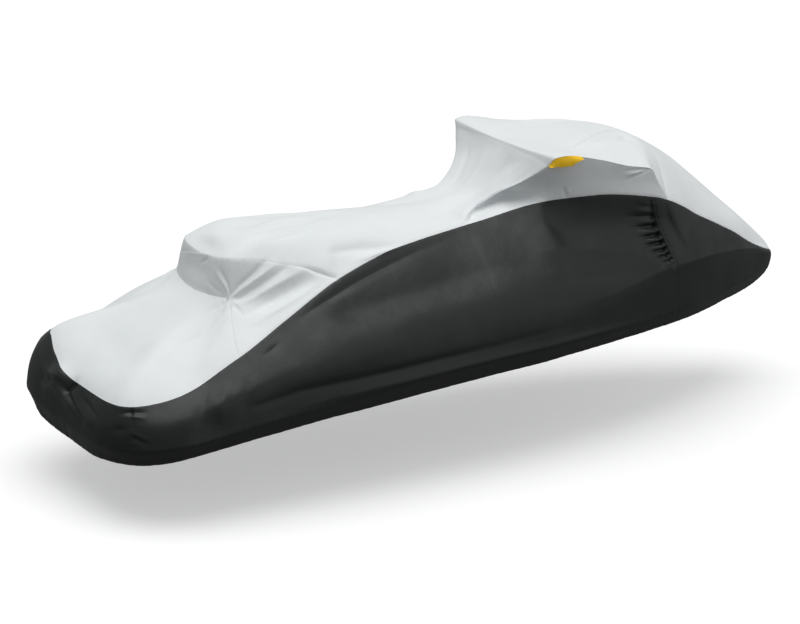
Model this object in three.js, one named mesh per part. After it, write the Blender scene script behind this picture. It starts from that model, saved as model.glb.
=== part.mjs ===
// Fitted cover for a three-seat personal watercraft, in millimetres, +Z up, +X to the bow, +Y to port.
// The cover is a hollow shell of light and charcoal polyester panels, sewn edge to edge. Its shape is
// a loft through eight lines that run from the stern, round the corner and forward to the bow: hem,
// fold, belly, boundary, waist, edge, crown and spine. A station number, 0 at the middle of the stern
// and 10 at the bow tip, says how far along a line a point lies. The port side mirrors the starboard,
// but for its stern quarter, which rides up, for two seams that run elsewhere and for its own folds.
import * as THREE from 'three';
import { mergeVertices } from 'three/addons/utils/BufferGeometryUtils.js';

// Driving dimensions
const CLOTH = 2.0;              // thickness of the coated cloth with its backing
const SEAM_GAP = 0.3;           // clearance between two panels at their shared seam
const SEAT_REST = [1400, 0, 988]; // point under the seat top on which the cover hangs, the part's origin
const PINCH_WIDTH = 12;         // least width kept between boundary and edge where no gusset lies
const TAG = { standoff: 5, curl: 3, thickness: 1 };

// Stations at which one panel ends and the next begins
const STERN_CORNER = 2;
const SEAT_CORNER = 4;
const SEAT_SIDE_END = 5;
const GRIP_START = 6;
const BOW_SEAM = 8;
const GRIP_END = 8.25;
const BOW_TIP = 10;

// Each line is a short table: station, distance from the stern, distance to starboard, height above keel
const HEM = [
  { at: 0, x: 36, out: 0, z: 250 },
  { at: 1, x: 26, out: 230, z: 250 },
  { at: 1.5, x: 48, out: 330, z: 250 },
  { at: 2, x: 112, out: 445, z: 254 },
  { at: 2.5, x: 188, out: 502, z: 264 },
  { at: 3, x: 300, out: 550, z: 290 },
  { at: 4, x: 590, out: 582, z: 330 },
  { at: 5, x: 1100, out: 585, z: 374 },
  { at: 6, x: 1700, out: 572, z: 408 },
  { at: 7, x: 2110, out: 538, z: 425 },
  { at: 8, x: 2690, out: 430, z: 441 },
  { at: 9, x: 3130, out: 262, z: 450 },
  { at: 9.6, x: 3388, out: 120, z: 460 },
  { at: 9.85, x: 3475, out: 58, z: 478 },
  { at: 10, x: 3508, out: 0, z: 492 },
];
const FOLD = [
  { at: 0, x: 10, out: 0, z: 326 },
  { at: 1, x: 8, out: 250, z: 322 },
  { at: 1.5, x: 26, out: 368, z: 320 },
  { at: 2, x: 84, out: 465, z: 322 },
  { at: 2.5, x: 150, out: 530, z: 332 },
  { at: 3, x: 288, out: 586, z: 353 },
  { at: 4, x: 580, out: 606, z: 392 },
  { at: 5, x: 1100, out: 615, z: 437 },
  { at: 6, x: 1700, out: 600, z: 476 },
  { at: 7, x: 2110, out: 568, z: 484 },
  { at: 8, x: 2690, out: 446, z: 484 },
  { at: 9, x: 3140, out: 262, z: 488 },
  { at: 9.6, x: 3400, out: 118, z: 498 },
  { at: 9.85, x: 3490, out: 58, z: 506 },
  { at: 10, x: 3526, out: 0, z: 512 },
];
const BELLY = [
  { at: 0, x: 20, out: 0, z: 415 },
  { at: 1, x: 20, out: 250, z: 410 },
  { at: 1.5, x: 36, out: 362, z: 408 },
  { at: 2, x: 88, out: 446, z: 410 },
  { at: 2.5, x: 160, out: 502, z: 420 },
  { at: 3, x: 290, out: 552, z: 450 },
  { at: 4, x: 570, out: 578, z: 532 },
  { at: 5, x: 1100, out: 594, z: 612 },
  { at: 6, x: 1700, out: 590, z: 626 },
  { at: 7, x: 2130, out: 570, z: 642 },
  { at: 8, x: 2659, out: 482, z: 711 },
  { at: 8.5, x: 2875, out: 408, z: 702 },
  { at: 9, x: 3102, out: 286, z: 665 },
  { at: 9.5, x: 3320, out: 158, z: 610 },
  { at: 9.85, x: 3483, out: 62, z: 550 },
  { at: 10, x: 3530, out: 0, z: 530 },
];
const BOUNDARY = [
  { at: 0, x: 53, out: 0, z: 494 },
  { at: 1, x: 54, out: 240, z: 486 },
  { at: 1.5, x: 68, out: 340, z: 485 },
  { at: 2, x: 111, out: 402, z: 487 },
  { at: 2.5, x: 190, out: 437, z: 495 },
  { at: 3, x: 300, out: 460, z: 518 },
  { at: 4, x: 552, out: 465, z: 633 },
  { at: 4.5, x: 781, out: 420, z: 735 },
  { at: 5, x: 1090, out: 340, z: 853 },
  { at: 5.5, x: 1408, out: 275, z: 919 },
  { at: 6, x: 1723, out: 250, z: 955 },
  { at: 6.5, x: 1945, out: 255, z: 990 },
  { at: 7, x: 2122, out: 325, z: 1030 },
  { at: 7.5, x: 2317, out: 385, z: 1040 },
  { at: 8, x: 2574, out: 420, z: 1005 },
  { at: 8.25, x: 2660, out: 412, z: 978 },
  { at: 8.5, x: 2858, out: 340, z: 872 },
  { at: 9, x: 3109, out: 240, z: 747 },
  { at: 9.5, x: 3335, out: 130, z: 621 },
  { at: 9.85, x: 3480, out: 52, z: 560 },
  { at: 10, x: 3522, out: 0, z: 545 },
];
const WAIST = [
  { at: 0, x: 600, out: 0, z: 792 },
  { at: 2, x: 610, out: 110, z: 793 },
  { at: 3, x: 622, out: 170, z: 796 },
  { at: 4, x: 643, out: 220, z: 800 },
  { at: 4.5, x: 830, out: 318, z: 822 },
  { at: 5, x: 1082, out: 335, z: 857 },
  { at: 6, x: 1728, out: 246, z: 958 },
  { at: 6.25, x: 1860, out: 185, z: 984 },
  { at: 6.5, x: 1958, out: 195, z: 1012 },
  { at: 6.75, x: 2042, out: 240, z: 1055 },
  { at: 7, x: 2102, out: 317, z: 1110 },
  { at: 7.5, x: 2310, out: 378, z: 1120 },
  { at: 8, x: 2569, out: 414, z: 1062 },
  { at: 8.25, x: 2664, out: 408, z: 980 },
  { at: 10, x: 3520, out: 0, z: 548 },
];
const EDGE = [
  { at: 0, x: 633, out: 0, z: 937 },
  { at: 2, x: 636, out: 110, z: 944 },
  { at: 3.4, x: 645, out: 155, z: 950 },
  { at: 4, x: 660, out: 182, z: 952 },
  { at: 4.12, x: 713, out: 200, z: 946 },
  { at: 4.3, x: 797, out: 215, z: 932 },
  { at: 4.5, x: 878, out: 235, z: 912 },
  { at: 4.75, x: 962, out: 268, z: 893 },
  { at: 5, x: 1075, out: 330, z: 862 },
  { at: 6, x: 1732, out: 242, z: 960 },
  { at: 6.25, x: 1884, out: 120, z: 1003 },
  { at: 6.5, x: 1965, out: 155, z: 1056 },
  { at: 6.75, x: 2040, out: 235, z: 1125 },
  { at: 7, x: 2068, out: 345, z: 1195 },
  { at: 7.12, x: 2090, out: 380, z: 1224 },
  { at: 7.25, x: 2140, out: 398, z: 1234 },
  { at: 7.5, x: 2303, out: 405, z: 1199 },
  { at: 7.75, x: 2444, out: 415, z: 1157 },
  { at: 7.93, x: 2556, out: 415, z: 1131 },
  { at: 8.1, x: 2600, out: 412, z: 1062 },
  { at: 8.25, x: 2668, out: 405, z: 982 },
  { at: 10, x: 3518, out: 0, z: 551 },
];
const CROWN = [
  { at: 0, x: 650, out: 0, z: 948 },
  { at: 2, x: 668, out: 85, z: 962 },
  { at: 4, x: 738, out: 150, z: 996 },
  { at: 4.25, x: 815, out: 166, z: 1006 },
  { at: 4.5, x: 912, out: 168, z: 1000 },
  { at: 5, x: 1175, out: 170, z: 986 },
  { at: 5.5, x: 1440, out: 158, z: 976 },
  { at: 6, x: 1700, out: 120, z: 972 },
  { at: 6.25, x: 1872, out: 62, z: 1012 },
  { at: 6.5, x: 1972, out: 82, z: 1080 },
  { at: 6.75, x: 2036, out: 125, z: 1150 },
  { at: 7, x: 2064, out: 185, z: 1206 },
  { at: 7.12, x: 2080, out: 195, z: 1225 },
  { at: 7.25, x: 2138, out: 200, z: 1220 },
  { at: 7.5, x: 2325, out: 205, z: 1215 },
  { at: 8, x: 2610, out: 215, z: 1178 },
  { at: 8.25, x: 2720, out: 200, z: 1120 },
  { at: 8.5, x: 2885, out: 175, z: 1012 },
  { at: 9, x: 3122, out: 122, z: 838 },
  { at: 9.5, x: 3342, out: 64, z: 686 },
  { at: 9.85, x: 3474, out: 26, z: 586 },
  { at: 10, x: 3514, out: 0, z: 557 },
];
const SPINE = [
  { at: 0, x: 656, out: 0, z: 952 },
  { at: 4, x: 765, out: 0, z: 1010 },
  { at: 4.5, x: 930, out: 0, z: 1014 },
  { at: 5, x: 1200, out: 0, z: 1000 },
  { at: 5.5, x: 1450, out: 0, z: 992 },
  { at: 6, x: 1700, out: 0, z: 988 },
  { at: 6.25, x: 1870, out: 0, z: 1018 },
  { at: 6.5, x: 1975, out: 0, z: 1088 },
  { at: 6.75, x: 2032, out: 0, z: 1160 },
  { at: 7, x: 2062, out: 0, z: 1212 },
  { at: 7.12, x: 2080, out: 0, z: 1226 },
  { at: 7.25, x: 2136, out: 0, z: 1222 },
  { at: 7.5, x: 2330, out: 0, z: 1222 },
  { at: 8, x: 2640, out: 0, z: 1192 },
  { at: 8.25, x: 2745, out: 0, z: 1148 },
  { at: 8.5, x: 2900, out: 0, z: 1068 },
  { at: 9, x: 3130, out: 0, z: 888 },
  { at: 9.5, x: 3345, out: 0, z: 718 },
  { at: 9.85, x: 3475, out: 0, z: 602 },
  { at: 10, x: 3508, out: 0, z: 566 },
];
const LINES = [HEM, FOLD, BELLY, BOUNDARY, WAIST, EDGE, CROWN, SPINE];
const LINE = { hem: 0, fold: 1, belly: 2, boundary: 3, waist: 4, edge: 5, crown: 6, spine: 7 };

// How sharply the section turns at a line, from 0, smooth, to 1, a corner, by station
const SHARPNESS = [
  [{ at: 0, turn: 0 }],
  [{ at: 0, turn: 0.6 }],
  [{ at: 0, turn: 0 }, { at: 6.5, turn: 0 }, { at: 7.6, turn: 0.6 }, { at: 8, turn: 0.95 }, { at: 9.2, turn: 0.9 },
    { at: 9.6, turn: 0.4 }, { at: 10, turn: 0 }],
  [{ at: 0, turn: 0.3 }, { at: 6, turn: 0.2 }, { at: 7, turn: 0.5 }, { at: 8, turn: 0.4 }, { at: 9, turn: 0.2 }],
  [{ at: 0, turn: 0.9 }, { at: 3.8, turn: 0.9 }, { at: 4.5, turn: 0 }],
  [{ at: 0, turn: 0.8 }, { at: 4.3, turn: 0.7 }, { at: 5, turn: 0 }, { at: 6, turn: 0 }, { at: 6.4, turn: 0.9 },
    { at: 7.9, turn: 0.9 }, { at: 8.2, turn: 0.3 }, { at: 8.4, turn: 0 }],
  [{ at: 0, turn: 0 }],
  [{ at: 0, turn: 0 }],
];

// Cubic interpolation of a table without overshoot: each row's slope is the harmonic mean of the slopes
// on its two sides, or 0 at a turning point
function tableCurve(rows, column) {
  const at = rows.map((row) => row.at);
  const value = rows.map((row) => row[column]);
  const last = rows.length - 1;
  if (last === 0) {
    return () => value[0];
  }
  const chord = at.slice(1).map((t, k) => (value[k + 1] - value[k]) / (t - at[k]));
  const slope = value.map((_, k) => {
    if (k === 0) {
      return chord[0];
    }
    if (k === last) {
      return chord[last - 1];
    }
    const before = chord[k - 1];
    const after = chord[k];
    if (before * after <= 0) {
      return 0;
    }
    const stepBefore = at[k] - at[k - 1];
    const stepAfter = at[k + 1] - at[k];
    const weightBefore = 2 * stepAfter + stepBefore;
    const weightAfter = stepAfter + 2 * stepBefore;
    return (weightBefore + weightAfter) / (weightBefore / before + weightAfter / after);
  });
  return (t) => {
    if (t <= at[0]) {
      return value[0];
    }
    if (t >= at[last]) {
      return value[last];
    }
    const k = at.findIndex((stop) => stop > t) - 1;
    const step = at[k + 1] - at[k];
    return hermite(value[k], value[k + 1], slope[k] * step, slope[k + 1] * step, (t - at[k]) / step);
  };
}

// Cubic from a to b with end slopes slopeA and slopeB, at fraction f
function hermite(a, b, slopeA, slopeB, f) {
  const square = f * f;
  const cube = square * f;
  return (2 * cube - 3 * square + 1) * a + (cube - 2 * square + f) * slopeA
    + (3 * square - 2 * cube) * b + (cube - square) * slopeB;
}

const smoothstep = (from, to, value) => THREE.MathUtils.smoothstep(value, from, to);
const mirror = (vector) => new THREE.Vector3(vector.x, -vector.y, vector.z);

const lineCurves = LINES.map((rows) => ['x', 'out', 'z'].map((column) => tableCurve(rows, column)));
const sharpnessCurves = SHARPNESS.map((rows) => tableCurve(rows, 'turn'));

// The eight points of the section at a station, starboard side. Where no gusset lies, waist and edge
// stand close above the boundary, half a pinch and one pinch up the section's own slope
function sectionPoints(station) {
  const points = lineCurves.map(([x, out, z]) => new THREE.Vector3(x(station), -out(station), z(station)));
  const boundary = points[LINE.boundary];
  const uphill = points[LINE.crown].clone().sub(boundary).normalize()
    .add(boundary.clone().sub(points[LINE.belly]).normalize()).normalize();
  const pinched = smoothstep(SEAT_SIDE_END - 0.12, SEAT_SIDE_END, station)
    * (1 - smoothstep(GRIP_START, GRIP_START + 0.12, station))
    + smoothstep(GRIP_END - 0.06, GRIP_END, station);
  points[LINE.waist].lerp(boundary.clone().addScaledVector(uphill, PINCH_WIDTH / 2), pinched);
  points[LINE.edge].lerp(boundary.clone().addScaledVector(uphill, PINCH_WIDTH), pinched);
  return points;
}

// The section curve at a station: cubic pieces from line to line, whose slopes are the smooth ones
// through the neighbouring points, turned towards the straight chord by each line's sharpness
function sectionCurve(station) {
  const points = sectionPoints(station);
  const sharpness = sharpnessCurves.map((curve) => curve(station));
  const mirrored = points[LINE.crown].clone().setY(-points[LINE.crown].y);
  const before = (k) => (k === 0 ? null : points[k].clone().sub(points[k - 1]));
  const after = (k) => (k < LINE.spine ? points[k + 1] : mirrored).clone().sub(points[k]);
  const smooth = points.map((_, k) => {
    if (k === 0) {
      return after(0).normalize();
    }
    const back = before(k);
    const ahead = after(k);
    const total = back.length() + ahead.length();
    return back.clone().normalize().multiplyScalar(ahead.length() / total)
      .addScaledVector(ahead.clone().normalize(), back.length() / total);
  });
  return (across) => {
    const k = Math.min(Math.floor(across), LINE.spine - 1);
    const chord = after(k);
    const length = chord.length();
    const unit = chord.clone().normalize();
    const leaving = smooth[k].clone().lerp(unit, sharpness[k]).multiplyScalar(length);
    const arriving = smooth[k + 1].clone().lerp(unit, sharpness[k + 1]).multiplyScalar(length);
    const blend = (axis) => hermite(points[k][axis], points[k + 1][axis], leaving[axis], arriving[axis], across - k);
    return new THREE.Vector3(blend('x'), blend('y'), blend('z'));
  };
}

// The port stern quarter rides up on the deck: how far a mirrored point is raised
const RIDE_UP = { low: 15, high: 62, fromHeight: 330, toHeight: 490, fullOut: 420, endX: 900, forward: 0.25 };

function portSide(point) {
  const { low, high, fromHeight, toHeight, fullOut, endX, forward } = RIDE_UP;
  const height = low + (high - low) * smoothstep(fromHeight, toHeight, point.z);
  const share = smoothstep(0, fullOut, -point.y) * (1 - smoothstep(0, endX, point.x));
  return mirror(point).add(new THREE.Vector3(forward * height * share, 0, height * share));
}

// The port boundary and edge run elsewhere on the cloth than the starboard ones: by what share of the way
// to the next line up each is moved, by station
const PORT_SHIFT = {
  boundary: [{ at: 0, shift: 0 }, { at: 0.4, shift: 0.015 }, { at: 0.9, shift: 0.05 }, { at: 1.5, shift: 0.1 },
    { at: 1.9, shift: 0.1 }, { at: 2.4, shift: 0.07 }, { at: 3, shift: 0.03 }, { at: 4, shift: 0 },
    { at: 4.6, shift: 0 }, { at: 5.2, shift: -0.05 }, { at: 6.4, shift: -0.05 }, { at: 7, shift: 0 }],
  edge: [{ at: 0, shift: 0 }, { at: 0.6, shift: -0.08 }, { at: 2.2, shift: -0.25 }, { at: 3.84, shift: -0.4 },
    { at: 4.12, shift: -0.35 }, { at: 4.5, shift: -0.12 }, { at: 5, shift: 0 }],
};
const portShiftCurves = {
  [LINE.boundary]: tableCurve(PORT_SHIFT.boundary, 'shift'),
  [LINE.edge]: tableCurve(PORT_SHIFT.edge, 'shift'),
};

// Across value on the port side: the values between two lines are stretched evenly to the moved lines
function portAcross(station, across) {
  const moved = (line) => line + (portShiftCurves[line] ? portShiftCurves[line](station) : 0);
  const k = Math.min(Math.floor(across), LINE.spine - 1);
  return THREE.MathUtils.lerp(moved(k), moved(k + 1), across - k);
}

// Folds of the cloth: a soft ridge (lift above 0) or trough along a path of points on the cover, with
// the half width over which it fades. Y is negative to starboard
const FOLDS = [
  // towing eye under the stern panel, and the folds it throws
  { path: [[32, 85, 480], [30, 35, 470]], width: 42, lift: 22 },
  { path: [[22, 110, 440], [24, 60, 420], [22, -10, 440]], width: 20, lift: -8 },
  { path: [[30, 210, 425], [12, -94, 385]], width: 26, lift: 9 },
  { path: [[22, -30, 440], [12, -128, 392]], width: 22, lift: 8 },
  // deck: sag of the middle, and pulls that run down from the seat corners
  { path: [[300, -110, 650], [430, 120, 700]], width: 130, lift: -9 },
  { path: [[628, -225, 787], [520, -205, 730]], width: 22, lift: 8 },
  { path: [[610, -262, 760], [454, -284, 673]], width: 26, lift: -8 },
  { path: [[585, -330, 712], [445, -385, 620]], width: 32, lift: 7 },
  { path: [[625, 235, 790], [500, 250, 715]], width: 28, lift: 8 },
  { path: [[600, 300, 745], [430, 330, 650]], width: 34, lift: -8 },
  // seat back: hollow middle, and a fold to the lower corner
  { path: [[622, -40, 870], [622, 70, 868]], width: 70, lift: -9 },
  { path: [[628, -140, 850], [642, -212, 808]], width: 16, lift: 6 },
  // seat sides: creases that fan forward from the lower seat corner
  { path: [[652, -218, 850], [778, -216, 938]], width: 15, lift: -9 },
  { path: [[655, -226, 826], [806, -222, 915]], width: 17, lift: 12 },
  { path: [[680, -245, 812], [890, -258, 884]], width: 24, lift: -10 },
  { path: [[700, -285, 790], [960, -300, 862]], width: 28, lift: 7 },
  { path: [[690, -325, 762], [1000, -338, 838]], width: 40, lift: -10 },
  { path: [[660, 228, 830], [840, 235, 905]], width: 22, lift: 10 },
  { path: [[690, 285, 800], [930, 300, 858]], width: 34, lift: -10 },
  // seat top: two long soft ridges, a trough between them and a dent over each edge
  { path: [[800, -58, 1014], [1010, 12, 1012]], width: 26, lift: 7 },
  { path: [[800, -104, 1012], [1100, -34, 1005]], width: 22, lift: -6 },
  { path: [[785, -137, 1006], [1190, -80, 1000]], width: 24, lift: 7 },
  { path: [[880, 110, 1008], [1240, 90, 998]], width: 34, lift: -6 },
  { path: [[1130, -250, 935], [1320, -258, 926]], width: 42, lift: -13 },
  { path: [[1180, 245, 940], [1400, 240, 935]], width: 48, lift: -11 },
  // hood: trough behind the handlebar, faint one on it, and creases towards the bow
  { path: [[2056, 285, 1190], [2050, 0, 1196], [2058, -305, 1196]], width: 22, lift: -13 },
  { path: [[2164, 150, 1221], [2108, -95, 1224]], width: 20, lift: -6 },
  { path: [[2215, -262, 1218], [2420, -150, 1212], [2606, -52, 1197]], width: 18, lift: -9 },
  { path: [[2300, -280, 1205], [2600, -130, 1188]], width: 40, lift: 6 },
  { path: [[2260, 240, 1216], [2560, 110, 1196]], width: 24, lift: -8 },
  { path: [[2573, -122, 1197], [2613, -250, 1165]], width: 20, lift: -6 },
  { path: [[2430, -408, 1140], [2560, -412, 1104]], width: 14, lift: -6 },
  { path: [[2440, 408, 1136], [2540, 414, 1100]], width: 16, lift: -6 },
  // sides: rub rail with the valley over it, belly, and the hollows higher up
  { path: [[720, -609, 438], [1204, -613, 469], [1690, -600, 492], [2217, -555, 504], [2400, -520, 493]],
    width: 20, lift: 8 },
  { path: [[720, 609, 438], [1204, 613, 469], [1690, 600, 492], [2217, 555, 504], [2400, 520, 493]],
    width: 20, lift: 8 },
  { path: [[748, -603, 508], [1204, -612, 516], [1690, -600, 543]], width: 28, lift: -9 },
  { path: [[748, 603, 508], [1204, 612, 516], [1690, 600, 543]], width: 28, lift: -9 },
  { path: [[400, -572, 500], [757, -587, 568], [1216, -591, 620]], width: 60, lift: 8 },
  { path: [[400, 572, 500], [757, 587, 568], [1216, 591, 620]], width: 60, lift: 8 },
  { path: [[1050, -460, 735], [1700, -430, 800]], width: 110, lift: -20 },
  { path: [[1050, 460, 735], [1700, 430, 800]], width: 110, lift: -20 },
  { path: [[2119, -390, 980], [2330, -470, 930], [2500, -478, 860]], width: 75, lift: -16 },
  { path: [[2119, 390, 980], [2330, 470, 930], [2500, 478, 860]], width: 75, lift: -16 },
];
const foldPaths = FOLDS.map(({ path, width, lift }) => (
  { points: path.map((place) => new THREE.Vector3(...place)), width, lift }));

// Distance from a point to a path of straight runs
function pathDistance(point, points) {
  const runs = points.slice(1).map((end, k) => new THREE.Line3(points[k], end));
  const nearest = new THREE.Vector3();
  return Math.min(...runs.map((run) => run.closestPointToPoint(point, true, nearest).distanceTo(point)));
}

// Height of all folds at a point of the surface: each is a bell across its path
function foldLift(point) {
  let lift = 0;
  for (const fold of foldPaths) {
    const distance = pathDistance(point, fold.points);
    lift += fold.lift * Math.exp(-((distance / fold.width) ** 2));
  }
  return lift;
}

// Grid steps: stations along the cover, and fractions between two neighbouring lines
const STATION_STEPS = [
  { to: 1, steps: 2 }, { to: 2, steps: 5 }, { to: 3, steps: 3 }, { to: 4, steps: 4 }, { to: 5, steps: 7 },
  { to: 6, steps: 5 }, { to: 7, steps: 10 }, { to: 8, steps: 10 }, { to: 8.25, steps: 3 }, { to: 9, steps: 5 },
  { to: 9.6, steps: 3 }, { to: 9.85, steps: 2 }, { to: 10, steps: 2 },
];
const LINE_STEPS = [2, 3, 4, 3, 3, 3, 2];

const stations = [0];
for (const { to, steps } of STATION_STEPS) {
  const from = stations.at(-1);
  for (let k = 1; k <= steps; k += 1) {
    stations.push(from + ((to - from) * k) / steps);
  }
}
const acrosses = [0];
for (const steps of LINE_STEPS) {
  const from = acrosses.at(-1);
  for (let k = 1; k <= steps; k += 1) {
    acrosses.push(Math.round(from) + k / steps);
  }
}

// Grid of points for one side, both laid out to starboard. acrossAt gives a point's across value
function makeGrid(acrossAt) {
  return stations.map((station) => {
    const curve = sectionCurve(station);
    return acrosses.map((across) => {
      const point = curve(acrossAt(station, across));
      if (station === 0 || station === BOW_TIP || across === LINE.spine) {
        point.y = 0;
      }
      return point;
    });
  });
}

// Point of a grid, continued past the centre plane by its mirror image
function gridPoint(grid, i, j) {
  const lastStation = stations.length - 1;
  const lastAcross = acrosses.length - 1;
  if (i < 0) {
    return mirror(grid[-i][j]);
  }
  if (i > lastStation) {
    return mirror(grid[2 * lastStation - i][j]);
  }
  if (j > lastAcross) {
    return mirror(grid[i][2 * lastAcross - j]);
  }
  return grid[i][Math.max(j, 0)];
}

// Outward normal at a grid point, the mean of the normals of the four cells around it
function gridNormal(grid, i, j) {
  const centre = gridPoint(grid, i, j);
  const ring = [[1, 0], [0, 1], [-1, 0], [0, -1]].map(([di, dj]) => (
    gridPoint(grid, i + di, j + dj).clone().sub(centre)));
  const total = new THREE.Vector3();
  ring.forEach((arm, k) => total.add(arm.clone().cross(ring[(k + 1) % 4]).normalize()));
  if (i === 0 || i === stations.length - 1 || j === acrosses.length - 1) {
    total.y = 0;
  }
  return total.normalize();
}

// The folded surface of one side: each grid point with its normal, where place puts them on that side
function foldedSurface(acrossAt, placePoint, placeNormal) {
  const grid = makeGrid(acrossAt);
  return grid.map((row, i) => row.map((point, j) => {
    const at = placePoint(point);
    const normal = placeNormal(gridNormal(grid, i, j));
    return { at: at.addScaledVector(normal, foldLift(at)), normal };
  }));
}

const surfaceStarboard = foldedSurface((_, across) => across, (point) => point.clone(), (normal) => normal);
const surfacePort = foldedSurface(portAcross, portSide, mirror);

// Nearest grid index of a station or of a line
const stationIndex = (station) => stations.findIndex((value) => Math.abs(value - station) < 1e-6);
const acrossIndex = (across) => acrosses.findIndex((value) => Math.abs(value - across) < 1e-6);

// Triangles of the grid cells between two stations and two lines. side 1 is starboard, -1 is port
function cells(fromStation, toStation, fromLine, toLine, side) {
  const triangles = [];
  const surface = side === 1 ? surfaceStarboard : surfacePort;
  const corner = (i, j) => surface[i][j];
  for (let i = stationIndex(fromStation); i < stationIndex(toStation); i += 1) {
    for (let j = acrossIndex(fromLine); j < acrossIndex(toLine); j += 1) {
      const [a, b, c, d] = [corner(i, j), corner(i + 1, j), corner(i + 1, j + 1), corner(i, j + 1)];
      triangles.push(...(side === 1 ? [[a, b, c], [a, c, d]] : [[a, c, b], [a, d, c]]));
    }
  }
  return triangles;
}

// A closed sheet from surface triangles: its rim is drawn in by half a seam gap, the inner face lies
// one cloth thickness inside, and a wall closes the rim
function sheetGeometry(triangles, thickness) {
  const vertices = [];
  const indexOf = new Map();
  const vertexIndex = ({ at, normal }) => {
    const key = at.toArray().map((value) => value.toFixed(3)).join(' ');
    if (!indexOf.has(key)) {
      indexOf.set(key, vertices.length);
      vertices.push({ at: at.clone(), normal: normal.clone(), inward: new THREE.Vector3() });
    }
    return indexOf.get(key);
  };
  const faces = triangles.map((triangle) => triangle.map(vertexIndex))
    .filter(([a, b, c]) => a !== b && b !== c && c !== a);
  const edges = new Set(faces.flatMap(([a, b, c]) => [`${a} ${b}`, `${b} ${c}`, `${c} ${a}`]));
  const rim = [];
  for (const face of faces) {
    face.forEach((a, k) => {
      const b = face[(k + 1) % 3];
      if (!edges.has(`${b} ${a}`)) {
        const along = vertices[b].at.clone().sub(vertices[a].at).normalize();
        const opposite = vertices[face[(k + 2) % 3]].at.clone().sub(vertices[a].at);
        const inward = opposite.addScaledVector(along, -opposite.dot(along)).normalize();
        vertices[a].inward.add(inward);
        vertices[b].inward.add(inward);
        rim.push([a, b]);
      }
    });
  }
  const outer = [];
  const inner = [];
  for (const { at, normal, inward } of vertices) {
    const drawn = inward.lengthSq() > 0 ? inward.multiplyScalar(2 / inward.lengthSq()) : inward;
    const limit = Math.min(drawn.length(), 2);
    const point = at.addScaledVector(drawn.normalize(), (limit * SEAM_GAP) / 2);
    outer.push(point);
    inner.push(point.clone().addScaledVector(normal, -thickness));
  }
  const corners = [];
  for (const [a, b, c] of faces) {
    corners.push(outer[a], outer[b], outer[c], inner[a], inner[c], inner[b]);
  }
  for (const [a, b] of rim) {
    corners.push(outer[b], outer[a], inner[a], outer[b], inner[a], inner[b]);
  }
  const rest = new THREE.Vector3(...SEAT_REST);
  const geometry = new THREE.BufferGeometry().setFromPoints(corners.map((point) => point.clone().sub(rest)));
  return mergeVertices(geometry, 1e-4);
}

const silver = new THREE.MeshStandardMaterial({ color: 0xe0e3e3, roughness: 0.55, metalness: 0 });
const charcoal = new THREE.MeshStandardMaterial({ color: 0x34373a, roughness: 0.5, metalness: 0 });
const yellow = new THREE.MeshStandardMaterial({ color: 0xe8b31c, roughness: 0.6, metalness: 0 });
const cover = new THREE.Group();

function addSheet(name, triangles, material, thickness = CLOTH) {
  const mesh = new THREE.Mesh(sheetGeometry(triangles, thickness), material);
  mesh.name = name;
  cover.add(mesh);
}

const bothSides = (...range) => [...cells(...range, 1), ...cells(...range, -1)];

// Panels that cross the centre line
addSheet('top_panel', [
  ...bothSides(0, BOW_TIP, LINE.edge, LINE.spine),
  ...bothSides(SEAT_SIDE_END, GRIP_START, LINE.boundary, LINE.edge),
  ...bothSides(GRIP_END, BOW_TIP, LINE.boundary, LINE.edge),
], silver);
addSheet('seat_back_panel', bothSides(0, SEAT_CORNER, LINE.waist, LINE.edge), silver);
addSheet('deck_panel', bothSides(0, SEAT_CORNER, LINE.boundary, LINE.waist), silver);
addSheet('stern_panel', bothSides(0, STERN_CORNER, LINE.fold, LINE.boundary), charcoal);

// Panels made once for each side
for (const [side, name] of [[1, 'starboard'], [-1, 'port']]) {
  addSheet(`seat_side_panel_${name}`, cells(SEAT_CORNER, SEAT_SIDE_END, LINE.boundary, LINE.edge, side), silver);
  addSheet(`grip_gusset_${name}`, cells(GRIP_START, GRIP_END, LINE.boundary, LINE.edge, side), silver);
  addSheet(`side_panel_${name}`, cells(STERN_CORNER, BOW_SEAM, LINE.fold, LINE.boundary, side), charcoal);
  addSheet(`bow_panel_${name}`, cells(BOW_SEAM, BOW_TIP, LINE.fold, LINE.boundary, side), charcoal);
  addSheet(`hem_band_${name}`, cells(0, BOW_TIP, LINE.hem, LINE.fold, side), charcoal);
}

// Yellow tag, sewn into the starboard edge seam beside the grip and lying on the gusset. Its upper border
// follows the seam and its lower border is straight, so it is deepest ahead of the middle
const TAG_TOP = { from: 7.02, to: 7.375 };
const TAG_DROP = [
  { at: 0, drop: 6 }, { at: 0.25, drop: 26 }, { at: 0.6, drop: 40 }, { at: 0.78, drop: 38 }, { at: 1, drop: 12 },
];
const TAG_STEPS = { along: 10, down: 3 };
const tagDrop = tableCurve(TAG_DROP, 'drop');

// Point of the tag, at a share of its length and of its depth: it stands off the section curve and
// curls outward in the middle
function tagPoint(alongShare, downShare) {
  const station = TAG_TOP.from + (TAG_TOP.to - TAG_TOP.from) * alongShare;
  const points = sectionPoints(station);
  const reach = points[LINE.edge].distanceTo(points[LINE.waist]);
  const place = sectionCurve(station)(LINE.edge - (downShare * tagDrop(alongShare)) / reach);
  place.y -= TAG.standoff + TAG.curl * Math.sin(Math.PI * downShare);
  return place;
}

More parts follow.
